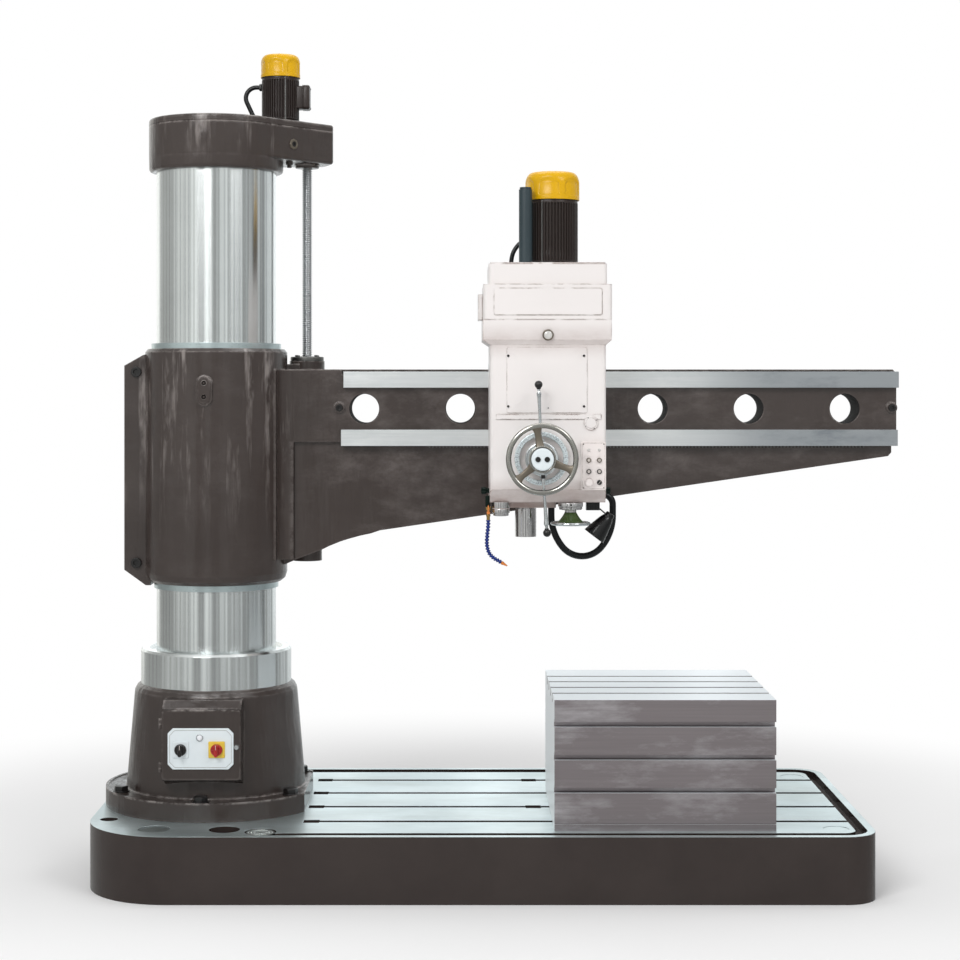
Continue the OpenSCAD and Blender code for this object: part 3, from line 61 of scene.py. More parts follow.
def addCamera(c):
    data = bpy.data.cameras.new("camera")
    data.sensor_width = c["sensor"]
    data.lens = c["focalPixels"] / c["imagePixels"] * c["sensor"]
    half = c["imagePixels"] / 2
    data.shift_x = (half - c["axisPixel"][0]) / c["imagePixels"]
    data.shift_y = (c["axisPixel"][1] - half) / c["imagePixels"]
    data.clip_end = 200
    made = bpy.data.objects.new("camera", data)
    scene.collection.objects.link(made)
    made.location = c["place"]
    made.rotation_euler = (radians(90), 0, 0)
    scene.camera = made


addCamera(camera)


# Surfaces: each is a grid of points, rows by columns by three numbers, in metres

def gridFaces(rows, columns):
    start = np.arange(rows * columns).reshape(rows, columns)[:-1, :-1].ravel()
    return np.stack([start, start + 1, start + columns + 1, start + columns], axis=1)


# Each corner of an outline becomes a short curve, (1-s)^2 a + 2s(1-s) corner + s^2 b, where a and b lie
# a radius from the corner along its two sides
def rounded(outline, radius, steps=5):
    p = np.array(outline, float)
    sides = [p[:-2] - p[1:-1], p[2:] - p[1:-1]]
    lengths = [np.linalg.norm(side, axis=1, keepdims=True) for side in sides]
    a, b = (p[1:-1] + side * np.minimum(radius / length, 0.45) for side, length in zip(sides, lengths))
    s = np.linspace(0, 1, steps)[None, :, None]
    curve = (1 - s) ** 2 * a[:, None] + 2 * s * (1 - s) * p[1:-1][:, None] + s ** 2 * b[:, None]
    return np.vstack([p[:1], curve.reshape(-1, p.shape[1]), p[-1:]])


# Turned shape: the point (r, h) of the profile at the angle t lies at x = r cos t, y = r sin t, z = h
def turned(profile, steps=64, swell=None):
    r, h = np.array(profile, float).T
    t = np.linspace(0, 2 * pi, steps + 1)
    around = r[:, None] * (np.ones_like(t) if swell is None else swell(r[:, None], h[:, None], t[None]))
    height = np.broadcast_to(h[:, None], around.shape)
    return np.stack([around * np.cos(t), around * np.sin(t), height], axis=-1)


# Wall over a plan of arcs (centre x, centre y, radius, first angle, last angle, in degrees): the profile's
# point (inset, height) lies at x = cx + (radius - inset) cos t, y = cy + (radius - inset) sin t, z = height
def walled(arcs, profile, steps=8):
    parts = []
    for cx, cy, radius, first, last in arcs:
        t = np.radians(np.linspace(first, last, steps if last - first < 120 else steps * 9))
        parts.append(np.stack([np.full_like(t, cx), np.full_like(t, cy), np.full_like(t, radius), t]))
    cx, cy, radius, t = np.concatenate(parts + [parts[0][:, :1]], axis=1)
    inset, height = np.array(profile, float).T[:, :, None]
    reach = radius - inset
    return np.stack([cx + reach * np.cos(t), cy + reach * np.sin(t), height + 0 * reach], axis=-1)


def rectangle(x, y, r):  # plan of a rectangle with round corners
    (a, b), (c, d) = x, y
    return [(b - r, c + r, r, -90, 0), (b - r, d - r, r, 0, 90), (a + r, d - r, r, 90, 180),
            (a + r, c + r, r, 180, 270)]


# Closed block: a rounded plan, with the edges of its floor and its roof rounded too
def block(x, y, z, corner, edge):
    e = min(edge, corner * 0.98)
    s = np.linspace(0, pi / 2, 5)
    floor = [(e - e * sin(a), z[0] + e - e * cos(a)) for a in s]
    roof = [(e - e * cos(a), z[1] - e + e * sin(a)) for a in s]
    return closed(walled(rectangle(x, y, corner), floor + roof, 7))


# Turns a grid from its own axes to a direction, and moves it: point = origin + x side + y (w x side) + z w
def aimed(grid, origin, direction=(0, 0, 1), side=(1, 0, 0)):
    w = np.array(direction, float)
    w = w / np.linalg.norm(w)
    u = np.array(side if abs(w @ np.array(side, float)) < 0.99 else (0, 1, 0), float)
    u = u - w * (u @ w)
    u = u / np.linalg.norm(u)
    return grid @ np.array([u, np.cross(w, u), w]) + np.array(origin, float)


def facing(grid, x, y, z):  # local z points at the operator, local x to the right, local y up
    return np.stack([grid[..., 0] + x, y - grid[..., 2], grid[..., 1] + z], axis=-1)


# Smooth path: between two points a cubic, whose slope at a point is half the step between its neighbours
def smoothPath(points, count):
    p = np.array(points, float)
    p = np.vstack([2 * p[0] - p[1], p, 2 * p[-1] - p[-2]])
    t = np.linspace(0, len(p) - 3, count)
    i = np.minimum(t.astype(int), len(p) - 4)
    s = (t - i)[:, None]
    a, b, c, d = (p[i + k] for k in range(4))
    second, third = a - 2.5 * b + 2 * c - d / 2, 1.5 * (b - c) + (d - a) / 2
    return b + s * (c - a) / 2 + s ** 2 * second + s ** 3 * third


# Arc in an upright plane at y: x = cx + r cos t, z = cz + r sin t
def arcPath(cx, y, cz, r, first, last, count):
    t = np.radians(np.linspace(first, last, count))
    return np.stack([cx + r * np.cos(t), np.full_like(t, y), cz + r * np.sin(t)], axis=-1)


# Tube: every point of the path carries a section square to it, path + wide cos t side + high sin t top
def swept(path, wide, high=None, steps=16, up=(0, 1, 0), power=1.0):
    path = np.array(path, float)
    along = np.gradient(path, axis=0)
    along /= np.linalg.norm(along, axis=1, keepdims=True)
    side = np.cross(along, up)
    side /= np.linalg.norm(side, axis=1, keepdims=True)
    top = np.cross(side, along)
    t = np.linspace(0, 2 * pi, steps + 1)[None, :, None]
    across = [np.sign(f(t)) * np.abs(f(t)) ** power for f in (np.cos, np.sin)]
    wide = np.broadcast_to(wide, len(path))[:, None, None]
    high = wide if high is None else np.broadcast_to(high, len(path))[:, None, None]
    return path[:, None] + wide * across[0] * side[:, None] + high * across[1] * top[:, None]


# Closes a tube or a wall: a row of equal points, the middle of the ring, before the first ring and after
# the last
def closed(grid):
    first, last = (np.broadcast_to(grid[i, :-1].mean(axis=0), grid[i].shape)[None] for i in (0, -1))
    return np.concatenate([first, grid, last])


# Hexagon of a given half width across flats: r = half width / cos(angle from the middle of the nearest flat)
def hexagon(halfWidth):
    def swell(r, h, t):
        flat = halfWidth / np.cos((t + pi / 6) % (pi / 3) - pi / 6)
        return np.where(r > halfWidth * 0.99, np.minimum(flat, r) / np.maximum(r, 1e-9), 1.0)
    return swell


# Hexagon head with its turned chamfer, standing on h = 0
def hexHead(halfWidth, height, steps=48):
    tip = halfWidth * 1.155
    profile = [(0, 0), (tip, 0), (tip, height * 0.8), (tip * 0.93, height * 0.93),
               (halfWidth * 0.96, height), (0, height)]
    return turned(rounded(profile, halfWidth * 0.03, 2), steps, hexagon(halfWidth))


# Cap screw with a hexagon socket, standing on h = 0
def socketHead(radius, height, steps=48):
    key = radius * 0.5

    def swell(r, h, t):
        flat = key / np.cos((t + pi / 6) % (pi / 3) - pi / 6)
        return np.where((r > key * 0.5) & (r < key * 1.3), flat / key, 1.0)

    profile = [(0, height * 0.4), (key, height * 0.4), (key, height), (radius * 0.92, height),
               (radius, height * 0.9), (radius, 0), (0, 0)]
    return turned(profile, steps, swell)


# Straight teeth round a wheel: the radius falls from the tip to the root between two teeth
def toothed(count, module, inner):
    def swell(r, h, t):
        along = np.abs(t * count / (2 * pi) % 1 - 0.5) * 2
        tip = module * (count / 2 + 0.85 - 2.05 * np.clip((0.62 - along) * 2.4, 0, 1))
        return np.where(r > inner, tip / np.maximum(r, 1e-9), 1.0)
    return swell


# Shader maths

class Wire:  # one socket of a material; sums and products of wires add Math nodes
    def __init__(self, tree, socket):
        self.tree = tree
        self.socket = socket

    def add(self, kind, settings=None, sockets=None, output=0):
        node = self.tree.nodes.new("ShaderNode" + kind)
        for name, value in (settings or {}).items():
            if name == "stops":
                elements = node.color_ramp.elements
                while len(elements) < len(value):
                    elements.new(0.5)
                for element, (place, grey) in zip(elements, value):
                    element.position = place
                    element.color = (grey, grey, grey, 1)
            else:
                setattr(node, name, value)
        for name, value in (sockets or {}).items():
            if isinstance(value, Wire):
                self.tree.links.new(value.socket, node.inputs[name])
            else:
                node.inputs[name].default_value = value
        return Wire(self.tree, node.outputs[output])

    def math(self, operation, first, second=0.0):
        return self.add("Math", {"operation": operation}, {0: first, 1: second})

    def __add__(self, other):
        return self.math("ADD", self, other)

    def __sub__(self, other):
        return self.math("SUBTRACT", self, other)

    def __rsub__(self, other):
        return self.math("SUBTRACT", other, self)

    def __mul__(self, other):
        return self.math("MULTIPLY", self, other)

    def __gt__(self, other):
        return self.math("GREATER_THAN", self, other)

    def __lt__(self, other):
        return self.math("LESS_THAN", self, other)

    def __abs__(self):
        return self.math("ABSOLUTE", self)

    __radd__ = __add__
    __rmul__ = __mul__


def linear(red, green, blue):  # a colour as a screen shows it, 0 to 255, made linear
    srgb = np.array([red, green, blue]) / 255
    return tuple(np.where(srgb < 0.04045, srgb / 12.92, ((srgb + 0.055) / 1.055) ** 2.4)) + (1.0,)


def shaded(colour, share):
    return tuple(min(1.0, c * share) for c in colour[:3]) + (1.0,)


def stretched(place, scale):
    return place.add("Mapping", None, {"Vector": place, "Scale": scale})


def noise(place, scale, detail=3.0, roughness=0.55):
    return place.add("TexNoise", None, {"Vector": place, "Scale": scale, "Detail": detail,
                                        "Roughness": roughness})


def ramp(value, stops):  # bends a 0 to 1 value through a ramp of (place, grey) stops
    return value.add("ValToRGB", {"stops": stops}, {"Fac": value})


def blendColours(mask, first, second):  # the first colour at 0, the second at 1
    return mask.add("Mix", {"data_type": "RGBA"}, {0: mask, 6: first, 7: second}, 2)


def axisOf(place, name):
    return place.add("SeparateXYZ", None, {"Vector": place}, name)


def between(value, low, high):  # 0 at low, 1 at high, smooth in the middle
    return value.add("MapRange", {"interpolation_type": "SMOOTHSTEP"},
                     {"Value": value, "From Min": low, "From Max": high})


def facingWay(place, name):  # how far the true surface faces along an axis
    return axisOf(place.add("NewGeometry", output="Normal"), name)


def startFinish(name, roughness=0.4, metallic=0.0, coat=0.0, specular=0.5):
    material = bpy.data.materials.new(name)
    material.use_nodes = True
    tree = material.node_tree
    shader = tree.nodes["Principled BSDF"]
    values = {"Roughness": roughness, "Metallic": metallic, "Specular IOR Level": specular,
              "Coat Weight": coat, "Coat Roughness": 0.06}
    for socket, value in values.items():
        shader.inputs[socket].default_value = value
    place = Wire(tree, tree.nodes.new("ShaderNodeTexCoord").outputs["Object"])
    return material, shader, place


def feed(shader, **sockets):
    for name, value in sockets.items():
        value.tree.links.new(value.socket, shader.inputs[name.replace("_", " ")])


# Normal with softened edges, bumped by a height
def softened(place, edge, height=None, depth=0.001):
    soft = place.add("Bevel", {"samples": 4}, {"Radius": edge})
    if height is None:
        return soft
    return place.add("Bump", None, {"Height": height, "Distance": depth, "Normal": soft})


# 0 on a flat, towards 1 at an edge: how far the softened normal leans from the true one. upward: the share
# of it that only upper edges get
def edgeMask(place, edge, gain, upward=0.0):
    soft = place.add("Bevel", {"samples": 4}, {"Radius": edge})
    true = place.add("NewGeometry", output="Normal")
    lean = place.add("VectorMath", {"operation": "DOT_PRODUCT"}, {0: soft, 1: true}, "Value")
    mask = place.add("Math", {"operation": "MULTIPLY", "use_clamp": True}, {0: 1.0 - lean, 1: gain})
    if not upward:
        return mask
    return mask * (between(axisOf(soft, "Z"), 0.0, 0.35) * upward + (1 - upward))


# Thick glossy enamel on filled castings: lumps and orange peel, a little uneven in shade. Edge marks in their
# own colour: on the brown enamel pale painted highlights, glints along the upper edges; on pale paints darker
# lines along the edges. dust: broad pale patches. Pale upright runs between two heights, none at the first
# and a
# share at the second: painted highlight, streaks of sheen. Height bands: painted shade, see the painted shade
# mask below. The last argument: a function that gives 1 where painted shade makes all dark
def enamel(name, colour, shade=0.12, roughness=0.18, lumps=0.0, edge=0.003, specular=0.5, glintAndLineColour=None,
           glintsAndLines=0.0, glintAndLineWidth=0.006, upward=0.85, dust=0.0, sheenRuns=(), paintedShadeBands=(), paintedShadowAt=None):
    material, shader, place = startFinish(name, roughness, specular=specular)
    cloud = noise(place, 2.2, 4)
    uneven = ramp(cloud, [(0.3, 0), (0.7, 1)])
    tone = blendColours(uneven, shaded(colour, 1 - shade), shaded(colour, 1 + shade))
    if dust:
        patches = ramp(noise(stretched(place, (1.6, 1.6, 3.4)), 1.0, 6, 0.66), [(0.44, 0), (0.62, 1)])
        scuffs = ramp(noise(stretched(place, (9, 9, 14)), 1.0, 5, 0.7), [(0.4, 0.15), (0.7, 1)])
        beam = between(axisOf(place, "X"), 0.28, 0.45) * 0.8 + 0.2
        tone = blendColours(patches * scuffs * beam * dust, tone, linear(132, 124, 121))
    # Painted highlight: pale upright streaks of sheen between two heights, on the parts near the column
    for low, high, share in sheenRuns:
        runs = ramp(noise(stretched(place, (17, 17, 1.4)), 1.0, 5, 0.62), [(0.53, 0), (0.62, 1)])
        broken = ramp(noise(stretched(place, (30, 30, 9)), 1.0, 4, 0.6), [(0.38, 0), (0.6, 1)])
        sleeve = between(axisOf(place, "X"), 0.32, 0.20)
        mask = runs * broken * between(axisOf(place, "Z"), low, high) * sleeve * share
        tone = blendColours(mask, tone, glintAndLineColour)
    # Edge marks: on the brown enamel pale painted highlights, glints along upper edges; on pale paints darker
    # lines along edges
    if glintAndLineColour:
        ragged = ramp(noise(place, 17, 6, 0.7), [(0.42, 0), (0.56, 1)])
        tone = blendColours(edgeMask(place, glintAndLineWidth, 8.0, upward) * ragged * glintsAndLines, tone, glintAndLineColour)
    # Painted shade: a brownish grey on faces that look down and in the given height bands
    if paintedShadeBands:
        tone = blendColours(paintedShadeMask(place, paintedShadeBands), tone, linear(166, 148, 142))
    rough = noise(place, 23) * 0.16 + (roughness - 0.06)
    # Painted shade: near black and rough where the given function gives 1
    if paintedShadowAt:
        dark = paintedShadowAt(place)
        tone = blendColours(dark, tone, shaded(colour, 0.15))
        rough = rough.math("MAXIMUM", rough, dark * 0.9)
    feed(shader, Base_Color=tone, Roughness=rough)
    height = noise(place, 900, 1) * 0.02
    if lumps:
        height = height + noise(stretched(place, (8, 8, 6)), 1.0, 2, 0.4)
        height = height + noise(stretched(place, (26, 26, 3.5)), 1.0, 2) * 0.3
    feed(shader, Normal=softened(place, edge, height, lumps or 0.0003))
    return material


# Painted shade: darker on faces that look down, and in bands (height without shade, darkest height, amount),
# broken up by noise
def paintedShadeMask(place, bands):
    height = axisOf(place, "Z")
    mask = between(facingWay(place, "Z"), -0.1, -0.9) * 0.5
    for unmarked, darkestHeight, amount in bands:
        band = between(height, unmarked, darkestHeight) * between(height, darkestHeight * 2 - unmarked, darkestHeight) * amount
        mask = mask.math("MAXIMUM", mask, band)
    return mask * (noise(stretched(place, (9, 9, 20)), 1.0, 5, 0.7) * 1.6 + 0.2)


# 1 inside the round holes of the arm, which stand in a row: there the arm's enamel gets painted shade
def armHoles(place):
    first, pitch, height, radius = 0.5526, 0.353, 1.685, 0.0555
    x = (axisOf(place, "X") - first) * (1 / pitch) + 0.5
    x = (x.math("FRACT", x) - 0.5) * pitch
    z = axisOf(place, "Z") - height
    return (x * x + z * z < radius ** 2) * (axisOf(place, "X") > 0.45)


# Ground or turned steel: fine lines along one way, with faint broad stains. upright: how much its highlights
# are drawn out upwards
def steel(name, colour, roughness=0.3, lines=(4, 300, 300), depth=0.00004, stain=0.18, spread=0.18,
          metallic=1.0, upright=0.0):
    material, shader, place = startFinish(name, roughness, metallic=metallic)
    shader.inputs["Anisotropic"].default_value = upright
    shader.inputs["Anisotropic Rotation"].default_value = 0.25
    grain = noise(stretched(place, lines), 1.0, 4, 0.6)
    cloud = noise(place, 3.5, 5)
    unmarked = ramp(cloud, [(0.35, 0), (0.65, 1)]) * 0.6 + grain * 0.4
    tone = blendColours(unmarked, shaded(colour, 1 - stain), colour)
    feed(shader, Base_Color=tone, Roughness=grain * spread + (roughness - spread / 2))
    feed(shader, Normal=softened(place, 0.0015, grain, depth))
    return material


def plastic(name, colour, roughness=0.3, coat=0.2, texture=0.00005, specular=0.5, mottle=0.2):
    material, shader, place = startFinish(name, roughness, coat=coat, specular=specular)
    cloud = ramp(noise(place, 30), [(0.3, 0), (0.7, 1)])
    feed(shader, Base_Color=blendColours(cloud, shaded(colour, 1 - mottle), colour))
    feed(shader, Roughness=noise(place, 90) * 0.15 + (roughness - 0.07))
    feed(shader, Normal=softened(place, 0.001, noise(place, 600, 2), texture))
    return material


# Base casting: ground above paintedTo, enamel on the sides and in the gutter
def baseFinish(paintedTo):
    material, shader, place = startFinish("baseFinish", specular=0.4)
    ground = axisOf(place, "Z") > paintedTo
    painted = 1.0 - ground
    inside = painted * between(facingWay(place, "Z"), 0.2, 0.6)
    grain = noise(stretched(place, (3, 260, 260)), 1.0, 4, 0.6)
    cloud = noise(place, 2.5, 5)
    unmarked = ramp(cloud, [(0.35, 0), (0.65, 1)]) * 0.5 + grain * 0.4
    steelTone = blendColours(unmarked, linear(184, 200, 203), linear(232, 243, 245))
    paintTone = blendColours(ramp(cloud, [(0.3, 0), (0.7, 1)]), linear(50, 42, 40), linear(60, 52, 49))
    smudges = ramp(noise(stretched(place, (1.6, 4, 4)), 1.0, 6, 0.65), [(0.45, 0), (0.75, 0.5)])
    steelTone = blendColours(smudges, steelTone, linear(150, 158, 152))
    rough = ground * (grain * 0.2 + 0.22) + painted * (noise(place, 23) * 0.16 + 0.14) + inside * 0.5
    tone = blendColours(ground, paintTone, steelTone)
    feed(shader, Base_Color=tone, Metallic=ground * 0.85, Roughness=rough)
    waves = noise(stretched(place, (7, 7, 2.2)), 1.0, 2) * painted * 4.0
    feed(shader, Normal=softened(place, 0.003, grain * ground + waves, 0.0003))
    return material


# Milled faces, with painted light: lighter and less metallic on faces that look up, near white on faces that
# look to the left; browner in front with pale smears along the milling lines. darkTo: the two values of X
# between which another colour sets in, and that colour
def milledFinish(name, front, smear, bright, darkTo=None):
    material, shader, place = startFinish(name, 0.3)
    normal = place.add("NewGeometry", output="Normal")
    up, left = between(axisOf(normal, "Z"), 0.3, 0.8), between(axisOf(normal, "X"), -0.3, -0.8)
    lit = up.math("MAXIMUM", up, left)
    grain = noise(stretched(place, (2.5, 170, 170)), 1.0, 5, 0.65)
    smears = ramp(noise(stretched(place, (3.0, 5, 9)), 1.0, 6, 0.68), [(0.5, 0), (0.78, 1)])
    smears = smears * (grain * 1.2 + 0.2)
    cloud = noise(stretched(place, (1.7, 3, 2.5)), 1.0, 3)
    tone = blendColours(grain * 0.6 + cloud * 0.4, shaded(front, 0.72), shaded(front, 1.22))
    tone = blendColours(smears, tone, smear)
    if darkTo:
        low, high, colour = darkTo
        tone = blendColours(between(axisOf(place, "X"), low, high) * (0.75 + smears * 0.5), tone, colour)
    # Painted light: near white on faces that look left, the bright colour on faces that look up
    side = blendColours(grain, linear(226, 232, 236), linear(254, 255, 255))
    tone = blendColours(left, blendColours(up, tone, bright), side)
    feed(shader, Base_Color=tone, Roughness=grain * 0.2 + 0.24, Metallic=0.8 - lit * 0.5 - left * 0.3)
    feed(shader, Normal=softened(place, 0.0015, grain, 0.00004))
    return material


# Feed dial: pale ring with thin division lines between three radii, one in five of them longer
def dialFinish(centre, marks, lineShare, radii):
    material, shader, place = startFinish("dialFinish", 0.3, metallic=0.35)
    inner, middle, outer = radii
    x, z = axisOf(place, "X") - centre[0], axisOf(place, "Z") - centre[1]
    turn = place.math("ARCTAN2", z, x) * (1 / (2 * pi)) + 1.0
    radius = (x * x + z * z).math("SQRT", x * x + z * z)
    inside = (radius > inner) * (radius < outer)
    thin = (abs(turn.math("FRACT", turn * marks) - 0.5) < lineShare) * (radius > middle)
    fifth = abs(turn.math("FRACT", turn * (marks / 5)) - 0.5) < lineShare / 5
    mark = thin.math("MAXIMUM", thin, fifth) * inside
    pale = blendColours(noise(place, 40), linear(206, 218, 222), linear(230, 238, 240))
    feed(shader, Base_Color=blendColours(mark * 0.7, pale, linear(70, 90, 120)))
    feed(shader, Roughness=noise(place, 120) * 0.15 + 0.2, Normal=softened(place, 0.0006))
    return material


brown = linear(60, 52, 49)
white = linear(231, 226, 224)
# Pale colour of the painted highlights on the brown enamel: glints along upper edges, streaks of sheen
glintsAndLines = linear(158, 150, 146)
finishes = {
    # Brown: painted highlights, glints along upper edges and sheen streaks on the cap
    "brown": enamel("brownEnamel", brown, lumps=0.010, glintAndLineColour=glintsAndLines, glintsAndLines=1.0, glintAndLineWidth=0.014,
                    dust=0.15, sheenRuns=[(2.58, 2.70, 0.5)]),
    # Arm: painted highlights as on the brown, and painted shade inside its round holes
    "arm": enamel("armEnamel", brown, lumps=0.005, glintAndLineColour=glintsAndLines, glintsAndLines=0.9, glintAndLineWidth=0.010, dust=0.42,
                  sheenRuns=[(1.15, 1.85, 0.62)], paintedShadowAt=armHoles),
    # White: painted shade on faces that look down, under the head's lower edge and under its flare; darker
    # lines along its edges
    "white": enamel("whiteEnamel", white, 0.02, 0.34, lumps=0.0008, specular=0.35,
                    glintAndLineColour=linear(132, 112, 104), glintsAndLines=1.0, upward=0.0,
                    paintedShadeBands=[(1.462, 1.385, 0.6), (1.400, 1.340, 0.9),
                           (2.000, 1.925, 0.4), (1.870, 1.925, 0.3)]),
    "panelPaint": enamel("panelPaint", linear(230, 222, 219), 0.02, 0.34, lumps=0.0004, edge=0.001,
                         specular=0.35, glintAndLineColour=linear(120, 98, 90), glintsAndLines=1.0, glintAndLineWidth=0.002,
                         upward=0.0),
    "motor": enamel("motorEnamel", linear(50, 42, 39), 0.1, 0.32, lumps=0.0006, specular=0.3),
    "yellow": enamel("yellowEnamel", linear(218, 168, 0), 0.1, 0.26, lumps=0.0010, edge=0.002, specular=0.3,
                     glintAndLineColour=linear(150, 112, 4), glintsAndLines=0.8, glintAndLineWidth=0.004, upward=0.0),
    "guard": enamel("guardEnamel", linear(38, 54, 60), 0.12, 0.4),
    "paleGreen": enamel("paleGreenEnamel", linear(66, 86, 44), 0.2, 0.08, lumps=0.0015),
    "column": steel("columnSteel", linear(228, 232, 232), 0.18, (6, 6, 420), 0.00001, stain=0.1, spread=0.06,
                    upright=0.9),
    "ground": steel("groundSteel", linear(206, 220, 222), 0.3),
    "turned": steel("turnedSteel", linear(222, 220, 220), 0.16, (8, 8, 500), 0.00002, spread=0.08,
                    upright=0.85),
    "gear": steel("gearSteel", linear(120, 120, 118), 0.4),
    "nut": steel("nutSteel", linear(176, 182, 180), 0.26, (8, 8, 60)),
    "screw": steel("screwSteel", linear(196, 198, 200), 0.3, (8, 8, 60)),
    "chrome": steel("chromeSteel", linear(222, 226, 228), 0.08, (60, 60, 60), 0.00001, spread=0.05),
    "rim": steel("rimSteel", linear(184, 182, 176), 0.14, (60, 60, 60), stain=0.2, spread=0.1),
    "cast": steel("castSteel", linear(118, 110, 98), 0.4, (50, 50, 50), 0.0002, metallic=0.6),
    "dial": dialFinish(shared["wheelAxis"], 72, 0.13, (0.0805, 0.0845, 0.0875)),
    # Table and ways: painted light, lighter on faces that look up and to the left
    "table": milledFinish("tableIron", linear(152, 144, 146), linear(210, 206, 210), linear(226, 232, 236)),
    "ways": milledFinish("wayIron", linear(236, 244, 246), linear(252, 254, 254), linear(236, 244, 246),
                         (1.60, 2.10, linear(140, 146, 152))),
    "brass": steel("brass", linear(190, 158, 100), 0.24, (60, 60, 60)),
    "black": plastic("blackOxide", linear(22, 20, 20), 0.32, coat=0.1),
    # Matte near-black for sunk screw heads: painted shade of their holes
    "hole": plastic("paintedHoleShade", linear(8, 7, 7), 0.8, coat=0.0, specular=0.0),
    "panel": plastic("panelWhite", linear(221, 229, 232), 0.4, coat=0.0, mottle=0.03),
    "pale": plastic("paleButton", linear(206, 198, 192), 0.3),
    "red": plastic("redPlastic", linear(176, 22, 18), 0.25),
    "switchYellow": plastic("switchYellow", linear(236, 200, 60), 0.4),
    "rubber": plastic("blackRubber", linear(12, 15, 18), 0.3, 0.0, 0.0002, specular=0.35),
    "lampBlack": plastic("lampBlack", linear(14, 14, 15), 0.18, coat=0.0),
    "hoseBlue": plastic("hoseBlue", linear(12, 44, 128), 0.3),
    "orange": plastic("orangePlastic", linear(222, 128, 50), 0.4),
    "green": plastic("darkGreenPlastic", linear(8, 26, 20), 0.5, coat=0.0, specular=0.15),
    "glass": plastic("sightGlass", linear(214, 212, 208), 0.06, coat=1.0),
    "lens": plastic("lampLens", linear(238, 240, 244), 0.1, coat=0.5, mottle=0.05),
}

# The CAD nodes that each finish dresses
finishOf = {
    "brown": "pedestal top_cap top_cap_lid switch_box_door",
    "arm": "arm_casting",
    "white": "head_casting gearbox_cover head_cover_panel",
    "motor": "lift_motor_body main_motor_body lift_motor_terminal_box",
    "yellow": "lift_motor_fan_cover main_motor_fan_cover",
    "guard": "spindle_guard_tube",
    "paleGreen": "fine_feed_wheel",
    "column": "outer_column inner_column column_clamp_ring",
    "ground": "base_plugs head_keepers sleeve_rings",
    "ways": "arm_ways",
    "turned": "quill spindle",
    "gear": "column_bearings traverse_rack traverse_pinion spindle_drive_gear lift_motor_rotor "
            "main_motor_rotor",
    "nut": "lift_nut",
    "screw": "lift_screw",
    "chrome": "traverse_handwheel feed_levers",
    "table": "box_table",
    "brass": "coolant_valve",
    "black": "pedestal_bolts arm_bolts isolator_knob hub_button_left hub_button_right mode_selector",
    "lampBlack": "lamp_base lamp_shade",
    "panel": "switch_plate hub_button_plate",
    "panelPaint": "control_panel",
    "pale": "start_button reverse_button arm_up_button arm_down_button stop_button",
    "red": "pump_switch_knob",
    "rubber": "head_conduits",
    "hoseBlue": "coolant_hose",
    "orange": "coolant_valve_lever coolant_nozzle",
    "green": "head_clamp_screw_left head_clamp_screw_right",
}


def dress(node, material):
    slots = nodes[node].data.materials
    slots.clear()
    slots.append(material)


for finishName, dressed in finishOf.items():
    for node in dressed.split():
        dress(node, finishes[finishName])
dress("base_casting", baseFinish(paintedTo=0.2312))
print("finishes made:", len(finishes) + 1)


# Joins grids into one mesh that rides a body. stands: the nodes that it replaces; sharp: the angle between
# two faces, in degrees, from which their edge stays sharp
def makePiece(name, grids, finish, body, stands, sharp=38):
    counts = [grid.shape[0] * grid.shape[1] for grid in grids]
    starts = np.cumsum([0] + counts)
    points = np.concatenate([grid.reshape(-1, 3) for grid in grids])
    faces = np.concatenate([gridFaces(*grid.shape[:2]) + start for grid, start in zip(grids, starts)])
    mesh = bpy.data.meshes.new(name)
    mesh.from_pydata(points.tolist(), [], faces.tolist())
    shape = bmesh.new()
    shape.from_mesh(mesh)
    bmesh.ops.remove_doubles(shape, verts=shape.verts, dist=3e-6)
    bmesh.ops.recalc_face_normals(shape, faces=shape.faces)
    shape.to_mesh(mesh)
    shape.free()
    mesh.shade_smooth()
    mesh.set_sharp_from_angle(angle=radians(sharp))
    mesh.materials.append(finishes[finish])
    piece = bpy.data.objects.new(name, mesh)
    scene.collection.objects.link(piece)
    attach(piece, body)
    if stands:
        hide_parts(*stands)
    return piece


def knob(profile, steps, x, y, z):  # turned about a line towards the operator
    return facing(turned(profile, steps), x, y, z)


def collar(inner, outer, height, x, y, z):  # ring between two radii, towards the operator
    e = 0.0008
    ring = rounded([(inner, -0.002), (inner, height), (outer, height), (outer + e, -0.002)], e)
    return knob(ring, 40, x, y, z)


# Coolant hose of ball-and-socket segments, and its nozzle
hose = {
    "route": [(1003, 1300), (1003, 1286), (1002, 1270), (1000, 1254), (999, 1238), (998, 1222), (999, 1208),
              (1002, 1194), (1007, 1182), (1015, 1172), (1025, 1164), (1037, 1157), (1049, 1150)],
    "y": -430,  # like the route, in millimetres
    "segments": 17,
    "bore": 0.0030,
    "neck": 0.0038,
    "socket": 0.0080,
}


